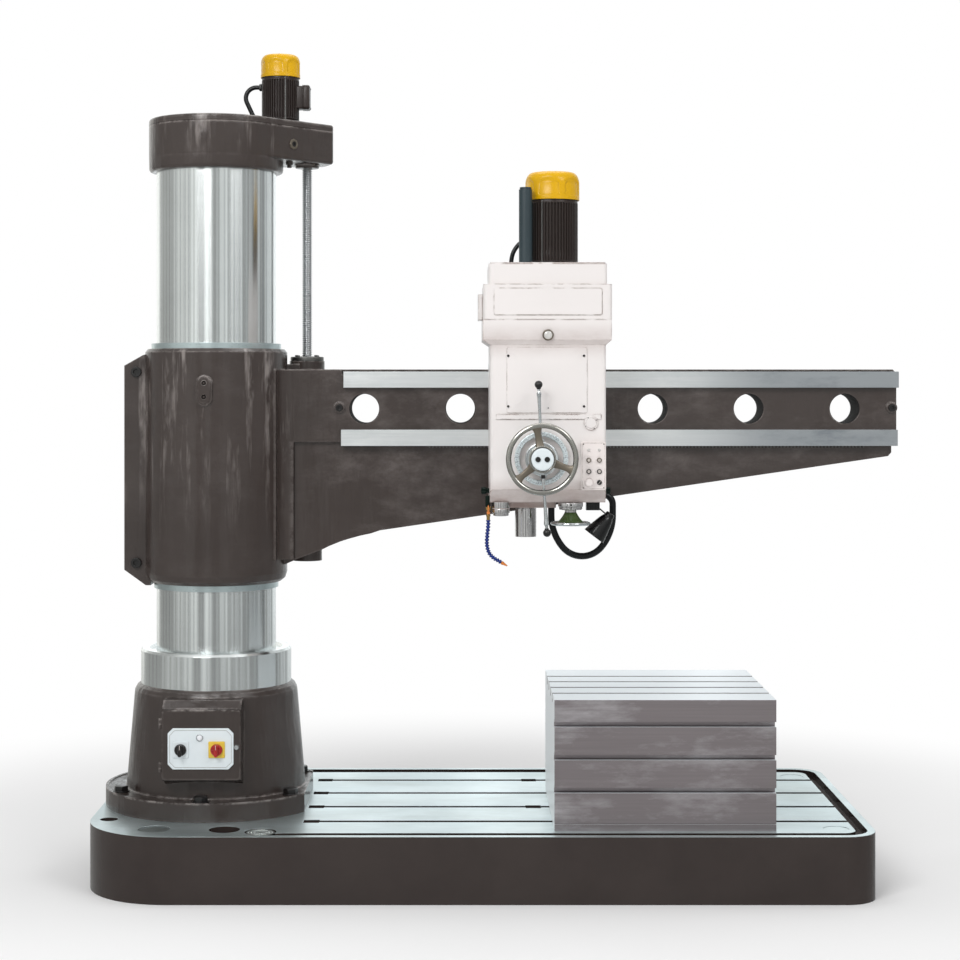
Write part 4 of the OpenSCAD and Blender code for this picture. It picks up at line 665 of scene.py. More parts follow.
# Radius of a segment: neck + (socket - neck) times a lopsided hump, sin(pi u^0.75)^1.2, at its share u
def makeHose(h):
    route = [(x / 1000, h["y"] / 1000, z / 1000) for x, z in h["route"]]
    path = smoothPath(route, h["segments"] * 10 + 1)
    u = np.linspace(0, h["segments"], len(path)) % 1.0
    r = h["neck"] + (h["socket"] - h["neck"]) * np.clip(np.sin(pi * u ** 0.75), 0, 1) ** 1.2
    outside, inside = swept(path, r, steps=20), swept(path, h["bore"], steps=20)
    wall = np.concatenate([outside, inside[::-1], outside[:1]])
    tube = makePiece("coolantHose", [wall], "hoseBlue", "head", ["coolant_hose"], sharp=60)
    tip = rounded([(0.0012, 0), (0.0064, 0), (0.0064, 0.006), (0.0052, 0.0075), (0.0044, 0.012),
                   (0.002, 0.0238), (0.0012, 0.0238), (0.0012, 0)], 0.0008)
    nozzle = makePiece("coolantNozzle", [aimed(turned(tip, 32), path[-1], path[-1] - path[-2])], "orange",
                       "head", ["coolant_nozzle"])


makeHose(hose)


# Arcs for the plan of a convex outline, counter-clockwise, whose corners get a radius
def filleted(points, radius):
    p = np.array(points, float)
    along = np.roll(p, -1, axis=0) - p
    along /= np.linalg.norm(along, axis=1, keepdims=True)
    out = np.degrees(np.arctan2(-along[:, 0], along[:, 1]))
    before = np.roll(along, 1, axis=0)
    turn = np.degrees(np.arcsin(before[:, 0] * along[:, 1] - before[:, 1] * along[:, 0]))
    back = radius * np.tan(np.radians(turn) / 2)[:, None]
    centre = p - before * back + radius * np.stack([-before[:, 1], before[:, 0]], axis=1)
    return [(x, y, radius, angle - step, angle) for (x, y), angle, step in zip(centre, out, turn)]


# Coolant tap: block, hexagon union, spout and a flat lever
tap = {
    "x": 1.003,
    "y": -0.430,
    "lever": 1.325,
    "spout": [(0, 1.298), (0.0062, 1.298), (0.0062, 1.310), (0.0078, 1.312), (0.0078, 1.317),
              (0.0062, 1.319), (0.0062, 1.346)],
    "block": ((0.993, 1.0085), (-0.441, -0.419), (1.3455, 1.384)),
    "handle": [(0, -0.005, 0), (0, 0.004, 0.0004), (0, 0.014, 0.0008), (0, 0.024, 0.0004), (0, 0.026, 0)],
    "handleWide": [0.0018, 0.0028, 0.003, 0.0026, 0.001],
    "handleHigh": [0.001, 0.0016, 0.0016, 0.0015, 0.0006],
}


def makeTap(c):
    x, y = c["x"], c["y"]
    makePiece("coolantTapBlock", [block(*c["block"], 0.004, 0.002)], "green", "head", ())
    spindle = closed(turned([(0.006, 0.0), (0.006, 0.012), (0.0052, 0.0136)], 32))
    grids = [turned(rounded(c["spout"], 0.0008), 40) + (x, y, 0), hexHead(0.0085, 0.012) + (x, y, 1.3335),
             facing(spindle, x, y, c["lever"])]
    makePiece("coolantTap", grids, "brass", "head", ["coolant_valve"])
    handle = swept(c["handle"], c["handleWide"], c["handleHigh"], 16, (0, 0, 1), 0.7)
    boss = rounded([(0, 0.0002), (0.006, 0.0002), (0.006, 0.004), (0, 0.0046)], 0.0008)
    makePiece("coolantTapLever", [knob(boss, 32, x, y - 0.0142, c["lever"]),
                                  facing(closed(handle), x, y - 0.0172, c["lever"])],
              "orange", "coolant_lever", ["coolant_valve_lever"])


makeTap(tap)

# Motors: finned shell on a foot, tie rods, and a domed fan cover with pressed panels and a slotted roof
motors = {  # rods: the angle of the first of four tie rods
    "lift": {"shell": "lift_motor_body", "cover": "lift_motor_fan_cover", "body": "column",
             "centre": shared["liftMotor"], "low": 2.750, "split": 2.923, "high": 3.008, "radius": 0.070,
             "coverRadius": 0.075, "fins": 44, "rods": 20},
    "main": {"shell": "main_motor_body", "cover": "main_motor_fan_cover", "body": "head",
             "centre": (1.238, -0.300 + sqrt(0.144 ** 2 - 0.100 ** 2)),  # 0.144 m from the spindle
             "low": 2.199, "split": 2.437, "high": 2.538,
             "radius": 0.092, "coverRadius": 0.099, "fins": 52, "rods": -117},
    "leadBox": ((1.122, 1.166), 0.026, (2.262, 2.308)),  # X, half depth and Z, on the main motor
    "finDepth": 0.0065,
    "panels": 6,
    "panelDepth": 0.05,
    "slots": 20,
}


# Shell: radius = core + depth x clip(1.9 cos(fins t) + 0.5, 0, 1), between the heights of the fins' two ends
def makeMotorShell(name, c):
    r, height, depth = c["radius"], c["split"] - c["low"], motors["finDepth"]

    def fins(radius, h, t):
        ends = np.clip((h - 0.017) / 0.004, 0, 1) * np.clip((height - 0.012 - h) / 0.003, 0, 1)
        fin = np.clip(1.9 * np.cos(c["fins"] * t) + 0.5, 0, 1)
        return 1 - depth / r * ends * (1 - fin) * (radius > r * 0.9)

    foot = rounded([(0, 0), (r + 0.004, 0), (r + 0.004, 0.009), (r - 0.004, 0.0105), (r - 0.004, 0.0145),
                    (r, 0.016)], 0.0015)
    levels = (0.017, 0.019, 0.021, 0.06, height * 0.5, height - 0.015, height - 0.0135, height - 0.012)
    top = [(r, height - 0.010), (r - 0.001, height - 0.009), (r - 0.001, height)]
    x, y = c["centre"]
    grids = [turned([*foot, *((r, h) for h in levels), *top], c["fins"] * 12, fins) + (x, y, c["low"])]
    if name == "main":
        wide, half, high = motors["leadBox"]
        grids.append(block(wide, (y - half, y + half), high, 0.006, 0.003))
    makePiece(name + "MotorShell", grids, "motor", c["body"], [c["shell"]], sharp=60)
    rod = closed(turned([(0.0025, 0.010), (0.0025, height - 0.002)], 16))
    rods = []
    for a in np.radians(c["rods"] + 90 * np.arange(4)):
        place = (x + (r - 0.0022) * cos(a), y + (r - 0.0022) * sin(a), c["low"])
        rods += [rod + place, hexHead(0.0045, 0.004, 24) + place + (0, 0, 0.010)]
    makePiece(name + "MotorRods", rods, "gear", c["body"], ())


# Side: radius less a smooth step, depth x panel(t) x panel(h); roof: lower by the slots' depth in two rings
def makeFanCover(name, c):
    r, height = c["coverRadius"], c["high"] - c["split"]

    def pressed(radius, h, t):
        across = np.abs((t * motors["panels"] / (2 * pi) + 0.18) % 1 - 0.5) * 2
        up = h / height
        arch = np.clip((0.80 - across ** 2 * 0.25 - up) * 9, 0, 1)
        panel = np.clip((0.80 - across) * 7, 0, 1) * np.clip((up - 0.13) * 12, 0, 1) * arch
        return 1 - motors["panelDepth"] * panel * (radius > r * 0.85)

    side = [(r * 0.965, 0.0), (r * 0.985, 0.0), (r * 0.99, height * 0.03)]
    side += [(r * 0.985, height * k) for k in np.linspace(0.06, 0.6, 22)]
    s = np.linspace(0, pi / 2, 16)[1:]
    dome = [(r * (0.72 + 0.265 * cos(a)), height * (0.6 + 0.4 * sin(a))) for a in s]
    shell = turned(side + dome, 180, pressed)
    radii = np.linspace(0.72, 0.0, 30) * r
    roof = turned([(radius, height) for radius in radii], 240)
    t = np.linspace(0, 2 * pi, 241)[None]
    share = (radii / r)[:, None]
    rings = ((share > 0.22) & (share < 0.4)) | ((share > 0.46) & (share < 0.64))
    roof[..., 2] -= 0.005 * (rings & (np.cos(t * motors["slots"]) > 0.1))
    place = (*c["centre"], c["split"])
    roofLow = height * 0.93
    inner = turned([(r * 0.965, 0.0), (r * 0.95, height * 0.58), (r * 0.70, roofLow), (0, roofLow)], 72)
    makePiece(name + "FanCover", [grid + place for grid in (shell, roof, inner)], "yellow", c["body"],
              [c["cover"]])


for motor in ("lift", "main"):
    makeMotorShell(motor, motors[motor])
    makeFanCover(motor, motors[motor])
print("motors made")


# Terminal box of the lifting motor: box and lid with four screws, and the cable with its two glands
terminalBox = {
    "motor": shared["liftMotor"],
    "cableRadius": 0.0085,
    "bend": 0.040,
    "turn": 115,
    "cableTop": 2.889,
    "lidTop": 2.750,
    "blocks": [  # box, lid and the seam between them: depth, height, distance from the motor, corner, edge
        ((-0.030, 0.030), (2.806, 2.892), (0.062, 0.090), 0.006, 0.002),
        ((-0.036, 0.036), (2.804, 2.895), (0.086, 0.111), 0.011, 0.006),
        ((-0.0365, 0.0365), (2.8035, 2.8955), (0.0845, 0.0875), 0.010, 0.001),
    ],
}


def makeTerminalBox(c):
    x, y = c["motor"]
    grids = [aimed(block(*sizes), (x, y, 0), (1, 0, 0), (0, 1, 0)) for sizes in c["blocks"]]
    makePiece("liftTerminalBox", grids, "motor", "column", ["lift_motor_terminal_box"])
    screws = [aimed(socketHead(0.0035, 0.003, 24), (x + 0.1095, y + dy, z), (1, 0, 0))
              for dy, z in product((-0.027, 0.027), (2.813, 2.886))]
    makePiece("liftTerminalScrews", screws, "gear", "column", ())
    startX, r = x - 0.090, c["bend"]
    arc = arcPath(startX, y, c["cableTop"] - r, r, 90, 90 + c["turn"], 30)
    fall = np.array([-sin(radians(90 + c["turn"])), 0, cos(radians(90 + c["turn"]))])
    run = (arc[-1, 2] - c["lidTop"] - 0.004) / -fall[2]
    path = np.concatenate([np.linspace((x - 0.072, y, c["cableTop"]), arc[0], 8)[:-1], arc,
                           arc[-1] + fall * np.linspace(0, run, 10)[1:, None]])
    cable = closed(swept(path, c["cableRadius"], steps=24))
    makePiece("liftMotorCable", [cable], "rubber", "column", ())
    gland = hexHead(0.012, 0.009)
    glands = [aimed(gland, (x - 0.0705, y, c["cableTop"]), (-1, 0, 0)), gland + (path[-1, 0], y, c["lidTop"])]
    makePiece("liftMotorGlands", glands, "black", "column", ())


makeTerminalBox(terminalBox)

# Cap on the column: a round housing with straight tangents to a squarish end, lid, oil plug and drain plug
cap = {
    "angle": 20.8,
    "radius": 0.248,
    "corner": 0.025,
    "reach": 0.440,
    "halfEnd": 0.062,
    "low": 2.557,
    "boxLow": 2.602,
    "seam": 2.726,
    "high": 2.750,
    "screw": shared["liftScrew"],
    "plugAlong": 0.157,
    "plugHigh": 2.660,
    "drain": (0.268, 0.030),
    "edge": 0.011,
}


def makeCap(c):
    radius, corner, seam, high, e = c["radius"], c["corner"], c["seam"], c["high"], c["edge"]
    x, y = c["reach"] - corner, c["halfEnd"] - corner
    taper = np.degrees(np.arcsin((radius - corner) / sqrt(x * x + y * y)) - atan2(y, x))
    a = 90 - taper
    turn = radians(c["angle"])
    way = (cos(turn), sin(turn), 0)
    plan = [(0, 0, radius, a, 360 - a), (x, -y, corner, -a, 0), (x, y, corner, 0, a)]
    s = np.linspace(0, pi / 2, 7)
    wall = [(e - e * sin(k), c["boxLow"] + e - e * cos(k)) for k in s]
    wall += [(0, seam - 0.0015), (0.0012, seam - 0.0004)]
    lid = [(0.0012, seam - 0.0004), (0.0012, seam + 0.0004), (0, seam + 0.0014), (0, high - 0.0095)]
    lid += [(0.009 - 0.009 * cos(k), high - 0.0095 + 0.0095 * sin(k)) for k in s[1:]]
    drum = rounded([(0.05, c["low"]), (radius - 0.001, c["low"]), (radius, c["low"] + 0.06)], 0.014, 8)
    boss = rounded([(0.019, 2.588), (0.044, 2.588), (0.047, 2.603)], 0.004)
    box = aimed(closed(walled(plan, wall, 10)), (0, 0, 0), (0, 0, 1), way)
    grids = [box, turned(drum, 160), turned(boss, 64) + (*c["screw"], 0)]
    face = turn + radians(taper)
    out, along = np.array([sin(face), -cos(face), 0]), np.array([cos(face), sin(face), 0])
    plug = radius * out + c["plugAlong"] * along + np.array([0, 0, c["plugHigh"]])
    ring = rounded([(0.0200, -0.001), (0.0200, 0.0045), (0.0110, 0.0055), (0.0110, -0.002)], 0.0012)
    makePiece("capHousing", grids, "brown", "column", ["top_cap"])
    makePiece("capLid", [aimed(closed(walled(plan, lid, 10)), (0, 0, 0), (0, 0, 1), way)], "brown", "column",
              ["top_cap_lid"])
    makePiece("capPlugRing", [aimed(turned(ring, 8), plug, out)], "cast", "column", ())
    makePiece("capPlug", [aimed(socketHead(0.0110, 0.004), plug, out)], "black", "column", ())
    drain = [turned(rounded([(0.013, 2.604), (0.013, 2.592), (0, 2.592)], 0.002), 32) + (*c["drain"], 0),
             aimed(hexHead(0.008, 0.012), (*c["drain"], 2.593), (0, 0, -1))]
    makePiece("capDrain", drain, "brown", "column", ())


makeCap(cap)
print("cap made")


# Lifting screw: a trapezium thread, journal and gear
liftScrew = {
    "place": shared["liftScrew"],
    "low": 1.560,
    "high": 2.620,
    "radius": 0.019,
    "threadDepth": 0.0036,
    "pitch": 0.008,
    "gearTeeth": 34,
    "gearModule": 0.004,
    "gearHeight": 0.038,
    "top": 2.742,
    "stepsUp": 6,  # points in one pitch, and in one turn
    "stepsRound": 24,
}


# Thread: r = radius - depth x clip(2 - 6 |phase - 1/2|, 0, 1), with phase = height / pitch - angle / turn,
# modulo 1
def makeLiftScrew(c):
    rows = int((c["high"] - c["low"]) / c["pitch"] * c["stepsUp"]) + 1
    h = np.linspace(c["low"], c["high"], rows)
    t = np.linspace(0, 2 * pi, c["stepsRound"] + 1)
    phase = (h[:, None] / c["pitch"] - t[None] / (2 * pi)) % 1
    r = c["radius"] - c["threadDepth"] * np.clip(2 - 6 * np.abs(phase - 0.5), 0, 1)
    thread = np.stack([r * np.cos(t), r * np.sin(t), np.broadcast_to(h[:, None], r.shape)], axis=-1)
    blank = [(0.019, 0), (0.06, 0), (0.06, c["gearHeight"]), (0.019, c["gearHeight"])]
    wheel = turned(blank, c["gearTeeth"] * 12, toothed(c["gearTeeth"], c["gearModule"], 0.05))
    rest = c["top"] - c["high"] - c["gearHeight"]
    journal = turned(rounded([(0.019, 0), (0.012, 0), (0.012, rest), (0, rest)], 0.001), 48)
    place = (*c["place"], 0)
    raised = (*c["place"], c["high"])
    grids = [closed(thread) + place, wheel + raised, journal + raised + (0, 0, c["gearHeight"])]
    makePiece("liftScrewThread", grids, "screw", "lift_screw", ["lift_screw"], sharp=50)


makeLiftScrew(liftScrew)

# Nut of the lifting screw: chamfered flange with four bolts, on a barrel that sits in the arm
liftNut = {
    "place": shared["liftScrew"],
    "seat": 1.862,
    "bolts": (45, 135, 225, 315),
}


def makeLiftNut(c):
    barrel = rounded([(0.0193, -0.098), (0.040, -0.098), (0.040, 0), (0.0625, 0), (0.0625, 0.014),
                      (0.0605, 0.016), (0.027, 0.016), (0.025, 0.018), (0.0193, 0.018),
                      (0.0193, -0.098)], 0.001)
    place = (*c["place"], c["seat"])
    makePiece("liftNutFlange", [turned(barrel, 80) + place], "gear", "arm", ["lift_nut"])
    bolts = [hexHead(0.0065, 0.0065, 36) + place + (0.051 * cos(a), 0.051 * sin(a), 0.0155)
             for a in np.radians(c["bolts"])]
    makePiece("liftNutBolts", bolts, "black", "arm", ())


makeLiftNut(liftNut)
print("lifting gear made")


# Bolts of the pedestal, of the arm's split lugs, and the arm's stop screws
bolts = {
    "pedestalAngles": (36, 88, 148, 208, 268, 323),
    "pedestalRing": 0.368,
    "pedestalSeat": 0.297,
    "lug": (-0.286, 0.070, (1.118, 1.820)),  # X, half the width over the lugs, heights
    "stops": ((0.461, 1.688), (2.490, 1.688)),
    "stopSeat": -0.083,
}


def makeBolts(c):
    grids = []
    for angle in c["pedestalAngles"]:
        a = radians(angle)
        place = np.array([c["pedestalRing"] * cos(a), c["pedestalRing"] * sin(a), c["pedestalSeat"]])
        turn = radians(angle * 7 % 60)  # each head stands turned its own way
        washer = turned(rounded([(0.015, 0), (0.0300, 0), (0.0300, 0.004), (0.015, 0.004)], 0.001), 48)
        head = aimed(hexHead(0.0230, 0.0180), (0, 0, 0.004), (0, 0, 1), (cos(turn), sin(turn), 0))
        shank = turned([(0.015, 0.002), (0.015, -0.105)], 32)
        grids += [washer + place, head + place, closed(shank) + place]
    makePiece("pedestalBolts", grids, "black", "base", ["pedestal_bolts"])
    x, half, heights = c["lug"]
    shank = closed(turned([(0.012, -0.162), (0.012, 0.0)], 32))
    grids = []
    for z in heights:
        grids += [facing(socketHead(0.019, 0.014), x, -half, z), facing(shank, x, -half, z),
                  aimed(hexHead(0.0180, 0.018), (x, half, z), (0, 1, 0))]
    for x, z in c["stops"]:
        grids += [facing(socketHead(0.013, 0.012), x, c["stopSeat"], z)]
    makePiece("armBolts", grids, "black", "arm", ["arm_bolts"])


makeBolts(bolts)


# Strainer over the drain at the gutter's round end: a disc, sunk at the radius r and the angle t wherever
# cos(2 pi r / pitch) > 0.2 and cos(holes t) > 0
strainer = {
    "centre": (0.216, -0.543),
    "radius": 0.0500,
    "height": 0.2302,
    "pitch": 0.0105,
    "holes": 24,
    "sink": 0.003,
}


def makeStrainer(c):
    radii = np.linspace(c["radius"], 0, 40)
    disc = turned(np.stack([radii, np.full_like(radii, c["height"])], axis=1), 120)
    t = np.linspace(0, 2 * pi, 121)[None]
    r = radii[:, None]
    holes = (np.cos(r * 2 * pi / c["pitch"]) > 0.2) & (np.cos(t * c["holes"]) > 0.0)
    disc[..., 2] -= c["sink"] * (holes & (r < c["radius"] * 0.93))
    edge = turned([(c["radius"], c["height"] - 0.006), (c["radius"], c["height"])], 120)
    grids = [grid + (*c["centre"], 0) for grid in (disc, edge)]
    makePiece("drainStrainer", grids, "nut", "base", ())


makeStrainer(strainer)

# Oval plate on the sleeve with its two sunk screws
sleevePlate = {
    "centre": (-0.0135, 1.755),
    "halfWide": 0.0235,
    "halfHigh": 0.052,
    "face": -0.2695,
    "screws": (1.7287, 1.7787),
}


def makeSleevePlate(c):
    x, z = c["centre"]
    w, h = c["halfWide"], c["halfHigh"]
    plate = facing(block((-w, w), (-h, h), (-0.006, 0.003), w, 0.002), x, c["face"], z)
    makePiece("sleevePlate", [plate], "brown", "arm", ())
    rings = [collar(0.0080, 0.0105, 0.0042, x, c["face"], screwZ) for screwZ in c["screws"]]
    makePiece("sleevePlateRims", rings, "brown", "arm", ())
    # The sunk screws are matte near-black: painted shade of their holes
    holes = [facing(socketHead(0.0080, 0.0036), x, c["face"], screwZ) for screwZ in c["screws"]]
    makePiece("sleevePlateScrews", holes, "hole", "arm", ())


makeSleevePlate(sleevePlate)
print("arm details made")

# Traverse handwheel: chromed rim, three cast spokes, hub, hollow shaft with its gear
handwheel = {
    "axis": shared["wheelAxis"],
    "rimPlane": -0.586,
    "gearPlane": -0.444,
    "rimRadius": 0.1155,
    "rimWide": 0.0095,
    "rimHigh": 0.0095,
    "spokeAngles": (100, 220, 340),
}


# Spoke: an oval section along a line from hub to rim. At the share s of it, its half width is
# 0.0108 + 0.017 clip(2s - 1)^4 + 0.006 (1 - s)^3 and its half height 0.0058 + 0.0022 (2s - 1)^2
def makeHandwheel(c):
    x, z = c["axis"]
    t = np.linspace(0, 2 * pi, 97)
    circle = np.stack([c["rimRadius"] * np.cos(t), c["rimRadius"] * np.sin(t), 0 * t], axis=-1)
    ring = np.linspace(0, 2 * pi, 25)
    outwards = circle / c["rimRadius"]
    rim = (circle[:, None] + c["rimWide"] * np.cos(ring)[None, :, None] * outwards[:, None]
           + c["rimHigh"] * np.sin(ring)[None, :, None] * np.array([0, 0, 1.0]))
    hub = rounded([(0.0405, 0.011), (0.0405, 0.022), (0.0465, 0.022), (0.0465, 0.004), (0.044, -0.012),
                   (0.036, -0.020), (0.030, -0.022), (0.030, -0.143), (0.0182, -0.143), (0.0182, 0.011),
                   (0.0405, 0.011)], 0.002)
    blank = [(0.0301, 0), (0.045, 0), (0.045, 0.015), (0.0301, 0.015), (0.0301, 0)]
    gear = turned(blank, 384, toothed(32, 0.003, 0.04))
    grids = [facing(rim, x, c["rimPlane"], z), knob(hub, 72, x, c["rimPlane"], z),
             facing(gear, x, c["gearPlane"], z)]
    makePiece("traverseHandwheel", grids, "rim", "handwheel", ["traverse_handwheel"],
              sharp=45)
    s = np.linspace(0, 1, 25)
    grids = []
    for angle in c["spokeAngles"]:
        a = radians(angle)
        reach = 0.036 + s * (c["rimRadius"] - 0.038)
        path = np.stack([reach * cos(a), reach * sin(a), -0.004 * np.sin(pi * s)], axis=-1)
        wide = 0.0108 + 0.017 * np.clip(2 * s - 1, 0, 1) ** 4 + 0.006 * (1 - s) ** 3
        spoke = swept(path, wide, 0.0058 + 0.0022 * (2 * s - 1) ** 2, 20, (0, 0, 1), 0.75)
        grids.append(facing(closed(spoke), x, c["rimPlane"], z))
    makePiece("handwheelSpokes", grids, "cast", "handwheel", (), sharp=45)


makeHandwheel(handwheel)

# Feed levers: graduated dial, hub, two chromed rods with ferrules, and ball knobs
levers = {
    "axis": shared["wheelAxis"],
    "plane": -0.543,
    "angles": (92.5, -86),
    "length": 0.256,
    "ball": 0.0138,
    "rodShares": [0, 0.05, 0.55, 0.80, 0.88, 0.895, 0.93, 1.0],  # along the rod, and its radius there
    "rodRadii": [0.0068, 0.0050, 0.0055, 0.0070, 0.0092, 0.0060, 0.0052, 0.0052],
}


# Rod: straight between the radii at the given shares of its length; ball: (ball sin t, length - ball cos t).
# The clamp sits on the last lever
def makeLevers(c):
    x, z = c["axis"]
    hub = rounded([(0.0302, -0.078), (0.042, -0.078), (0.042, -0.041), (0.042, -0.015), (0.056, -0.013),
                   (0.058, -0.011), (0.058, 0.010), (0.055, 0.013), (0.0302, 0.013),
                   (0.0302, -0.078)], 0.0015)
    grids = [knob(hub, 80, x, c["plane"], z)]
    dial = rounded([(0.088, -0.053), (0.093, -0.051), (0.093, -0.026), (0.0905, -0.023), (0.078, -0.023),
                    (0.076, -0.025), (0.076, -0.041)], 0.0012)
    face = rounded([(0.041, -0.051), (0.0775, -0.051), (0.0775, -0.0405), (0.041, -0.0405)], 0.001)
    s = np.linspace(0, 1, 60)
    r = np.interp(s, c["rodShares"], c["rodRadii"])
    boss = rounded([(0.0, 0.046), (0.0125, 0.046), (0.0125, 0.064), (0.0085, 0.0675), (0, 0.0675)], 0.002)
    t = np.linspace(0, pi, 24)
    ball = turned(np.stack([c["ball"] * np.sin(t), c["length"] - c["ball"] * np.cos(t)], axis=1), 40)
    end = c["length"]
    neck = turned(rounded([(0.0062, end - 0.016), (0.0072, end - 0.015), (0.0080, end - 0.009)], 0.001), 32)
    balls = []
    for angle in c["angles"]:
        way = np.array([cos(radians(angle)), sin(radians(angle)), 0])
        path = way * (0.046 + s * (c["length"] - 0.050))[:, None]
        grids += [facing(closed(swept(path, r, steps=24, up=(0, 0, 1))), x, c["plane"], z)]
        grids += [facing(aimed(turned(boss, 32), (0, 0, 0), way, (0, 0, 1)), x, c["plane"], z)]
        balls += [facing(aimed(g, (0, 0, 0), way, (0, 0, 1)), x, c["plane"], z) for g in (ball, neck)]
    makePiece("feedLeverRods", grids, "chrome", "levers", ["feed_levers"])
    fork = block((-0.0125, 0.0125), (-0.0075, 0.0075), (0.054, 0.068), 0.004, 0.0015)
    fork = aimed(fork, (0, 0, 0), way, (0, 0, 1))
    makePiece("feedLeverClamp", [facing(fork, x, c["plane"], z)], "black", "levers", ())
    makePiece("feedDial", [knob(dial, 120, x, c["plane"], z)], "dial", "levers", ())
    makePiece("feedDialFace", [knob(face, 96, x, c["plane"], z)], "panelPaint", "levers", ())
    makePiece("feedLeverBalls", balls, "black", "levers", (), sharp=60)


makeLevers(levers)

# Hub in the handwheel: pale plate on the fixed tube, with two black clamp buttons
hubPlate = {
    "axis": shared["wheelAxis"],
    "plane": -0.598,
    "buttons": 0.0158,
}


def makeHub(c):
    x, z = c["axis"]
    plate = rounded([(0.0, 0.0155), (0.034, 0.0155), (0.0388, 0.013), (0.0388, 0.0), (0.0177, 0.0),
                     (0.0177, -0.174), (0.012, -0.174), (0.012, -0.006)], 0.0015)
    rim = rounded([(0.0093, 0.0140), (0.0093, 0.0172), (0.0112, 0.0172), (0.0112, 0.0140)], 0.0006)
    rims = [turned(rim, 40) + (side * c["buttons"], 0, 0) for side in (-1, 1)]
    makePiece("hubPlate", [facing(g, x, c["plane"], z) for g in [turned(plate, 72)] + rims], "panel", "head",
              ["hub_button_plate"])
    gasket = rounded([(0.0375, 0.0020), (0.0375, 0.0118), (0.0396, 0.0112), (0.0396, 0.0020)], 0.0006)
    makePiece("hubGasket", [knob(gasket, 72, x, c["plane"], z)], "black", "head", ())
    button = rounded([(0, 0.010), (0.009, 0.010), (0.009, 0.019), (0.0078, 0.0205), (0, 0.0198)], 0.0009)
    for side, name in ((-1, "left"), (1, "right")):
        makePiece("hubButton_" + name, [knob(button, 40, x + side * c["buttons"], c["plane"], z)], "black",
                  "clamp_button_" + name, ["hub_button_" + name])


makeHub(hubPlate)
print("wheel and levers made")


# Button panel: plate with a raised face, collars, lamps, corner screws, and the buttons themselves
panel = {
    "x": (1.324, 1.410),
    "z": (1.407, 1.575),
    "back": shared["headFront"],
    "thick": 0.028,
    "columns": (1.350, 1.3865),
    "rows": (1.434, 1.472, 1.511, 1.546),
    "screws": ((1.332, 1.402), (1.4155, 1.5665)),
    "buttonRadius": 0.0085,
}


def makePanel(c):
    x, z = sum(c["x"]) / 2, sum(c["z"]) / 2
    w, h, front = (c["x"][1] - c["x"][0]) / 2, (c["z"][1] - c["z"][0]) / 2, c["back"] - c["thick"]
    plate = block((-w, w), (-h, h), (-0.001, c["thick"] - 0.0015), 0.006, 0.002)
    w, h = w - 0.005, h - 0.005
    raised = block((-w, w), (-h, h), (0.01, c["thick"]), 0.004, 0.0008)
    (left, right), (low, second, third, top) = c["columns"], c["rows"]
    grids = [facing(grid, x, c["back"], z) for grid in (plate, raised)]
    grids.append(collar(0.0128, 0.0145, 0.0010, left, front, low))
    makePiece("buttonPanel", grids, "panelPaint", "head", ["control_panel"])
    lamp = rounded([(0.0050, -0.002), (0.0050, 0.002), (0.003, 0.0036), (0, 0.0040)], 0.001)
    lamps = [knob(lamp, 32, x, front, top) for x in (left, right)]
    makePiece("panelLamps", lamps, "glass", "head", ())
    screws = [facing(socketHead(0.0020, 0.0010, 24), x, front, z) for x, z in product(*c["screws"])]
    makePiece("panelScrews", screws, "cast", "head", ())
    r = c["buttonRadius"]
    rim = rounded([(r - 0.0032, 0.0045), (r - 0.0026, 0.0072), (r - 0.0006, 0.0072), (r, 0.0060), (r, -0.010),
                   (0, -0.010)], 0.0006)
    button = rounded([(r - 0.0028, 0.0046), (r - 0.0030, 0.0062), (0, 0.0060)], 0.0006)
    for name, x, z in (("start", left, third), ("reverse", right, third), ("arm_up", left, second),
                       ("arm_down", right, second)):
        body = name + "_button"
        makePiece(name + "Button", [knob(button, 40, x, front, z)], "pale", body, [body])
        makePiece(name + "Rim", [knob(rim, 40, x, front, z)], "cast" if z == third else "black", body, ())
    mushroom = rounded([(0, -0.008), (r, -0.008), (r, 0.012), (0.0125, 0.0135), (0.0138, 0.017),
                        (0.011, 0.0205), (0, 0.0218)], 0.0016)
    makePiece("stopButton", [knob(mushroom, 48, left, front, low)], "panelPaint", "stop_button",
              ["stop_button"])
    base = rounded([(0, -0.014), (r, -0.014), (r, 0.0060), (0, 0.0064)], 0.0008)
    grip = block((-0.0028, 0.0028), (-0.0075, 0.0075), (0.004, 0.012), 0.0026, 0.0012)
    line = block((-0.0007, 0.0007), (-0.0062, 0.0062), (0.0117, 0.0124), 0.0006, 0.0002)
    slant = (cos(pi / 4), -sin(pi / 4), 0)
    grip, line = (facing(aimed(grid, (0, 0, 0), (0, 0, 1), slant), right, front, low)
                  for grid in (grip, line))
    makePiece("modeSelectorLine", [line], "pale", "mode_selector", ())
    makePiece("modeSelector", [knob(base, 40, right, front, low), grip], "black", "mode_selector",
              ["mode_selector"])


makePanel(panel)

# Head details: cover panel with its screws, sight glass, round cover, and the steel cap under the head
headDetails = {
    "front": shared["headFront"],
    "cover": ((1.066, 1.347), (1.674, 1.904)),
    "coverScrews": ((1.0715, 1.873), (1.3350, 1.873), (1.0715, 1.697), (1.3350, 1.697)),
    "smallScrew": (1.2105, 1.6915),
    "sight": (1.2095, 1.945),
    "round": (1.3595, 1.639),
    "capPlace": (1.047, -0.430),
}


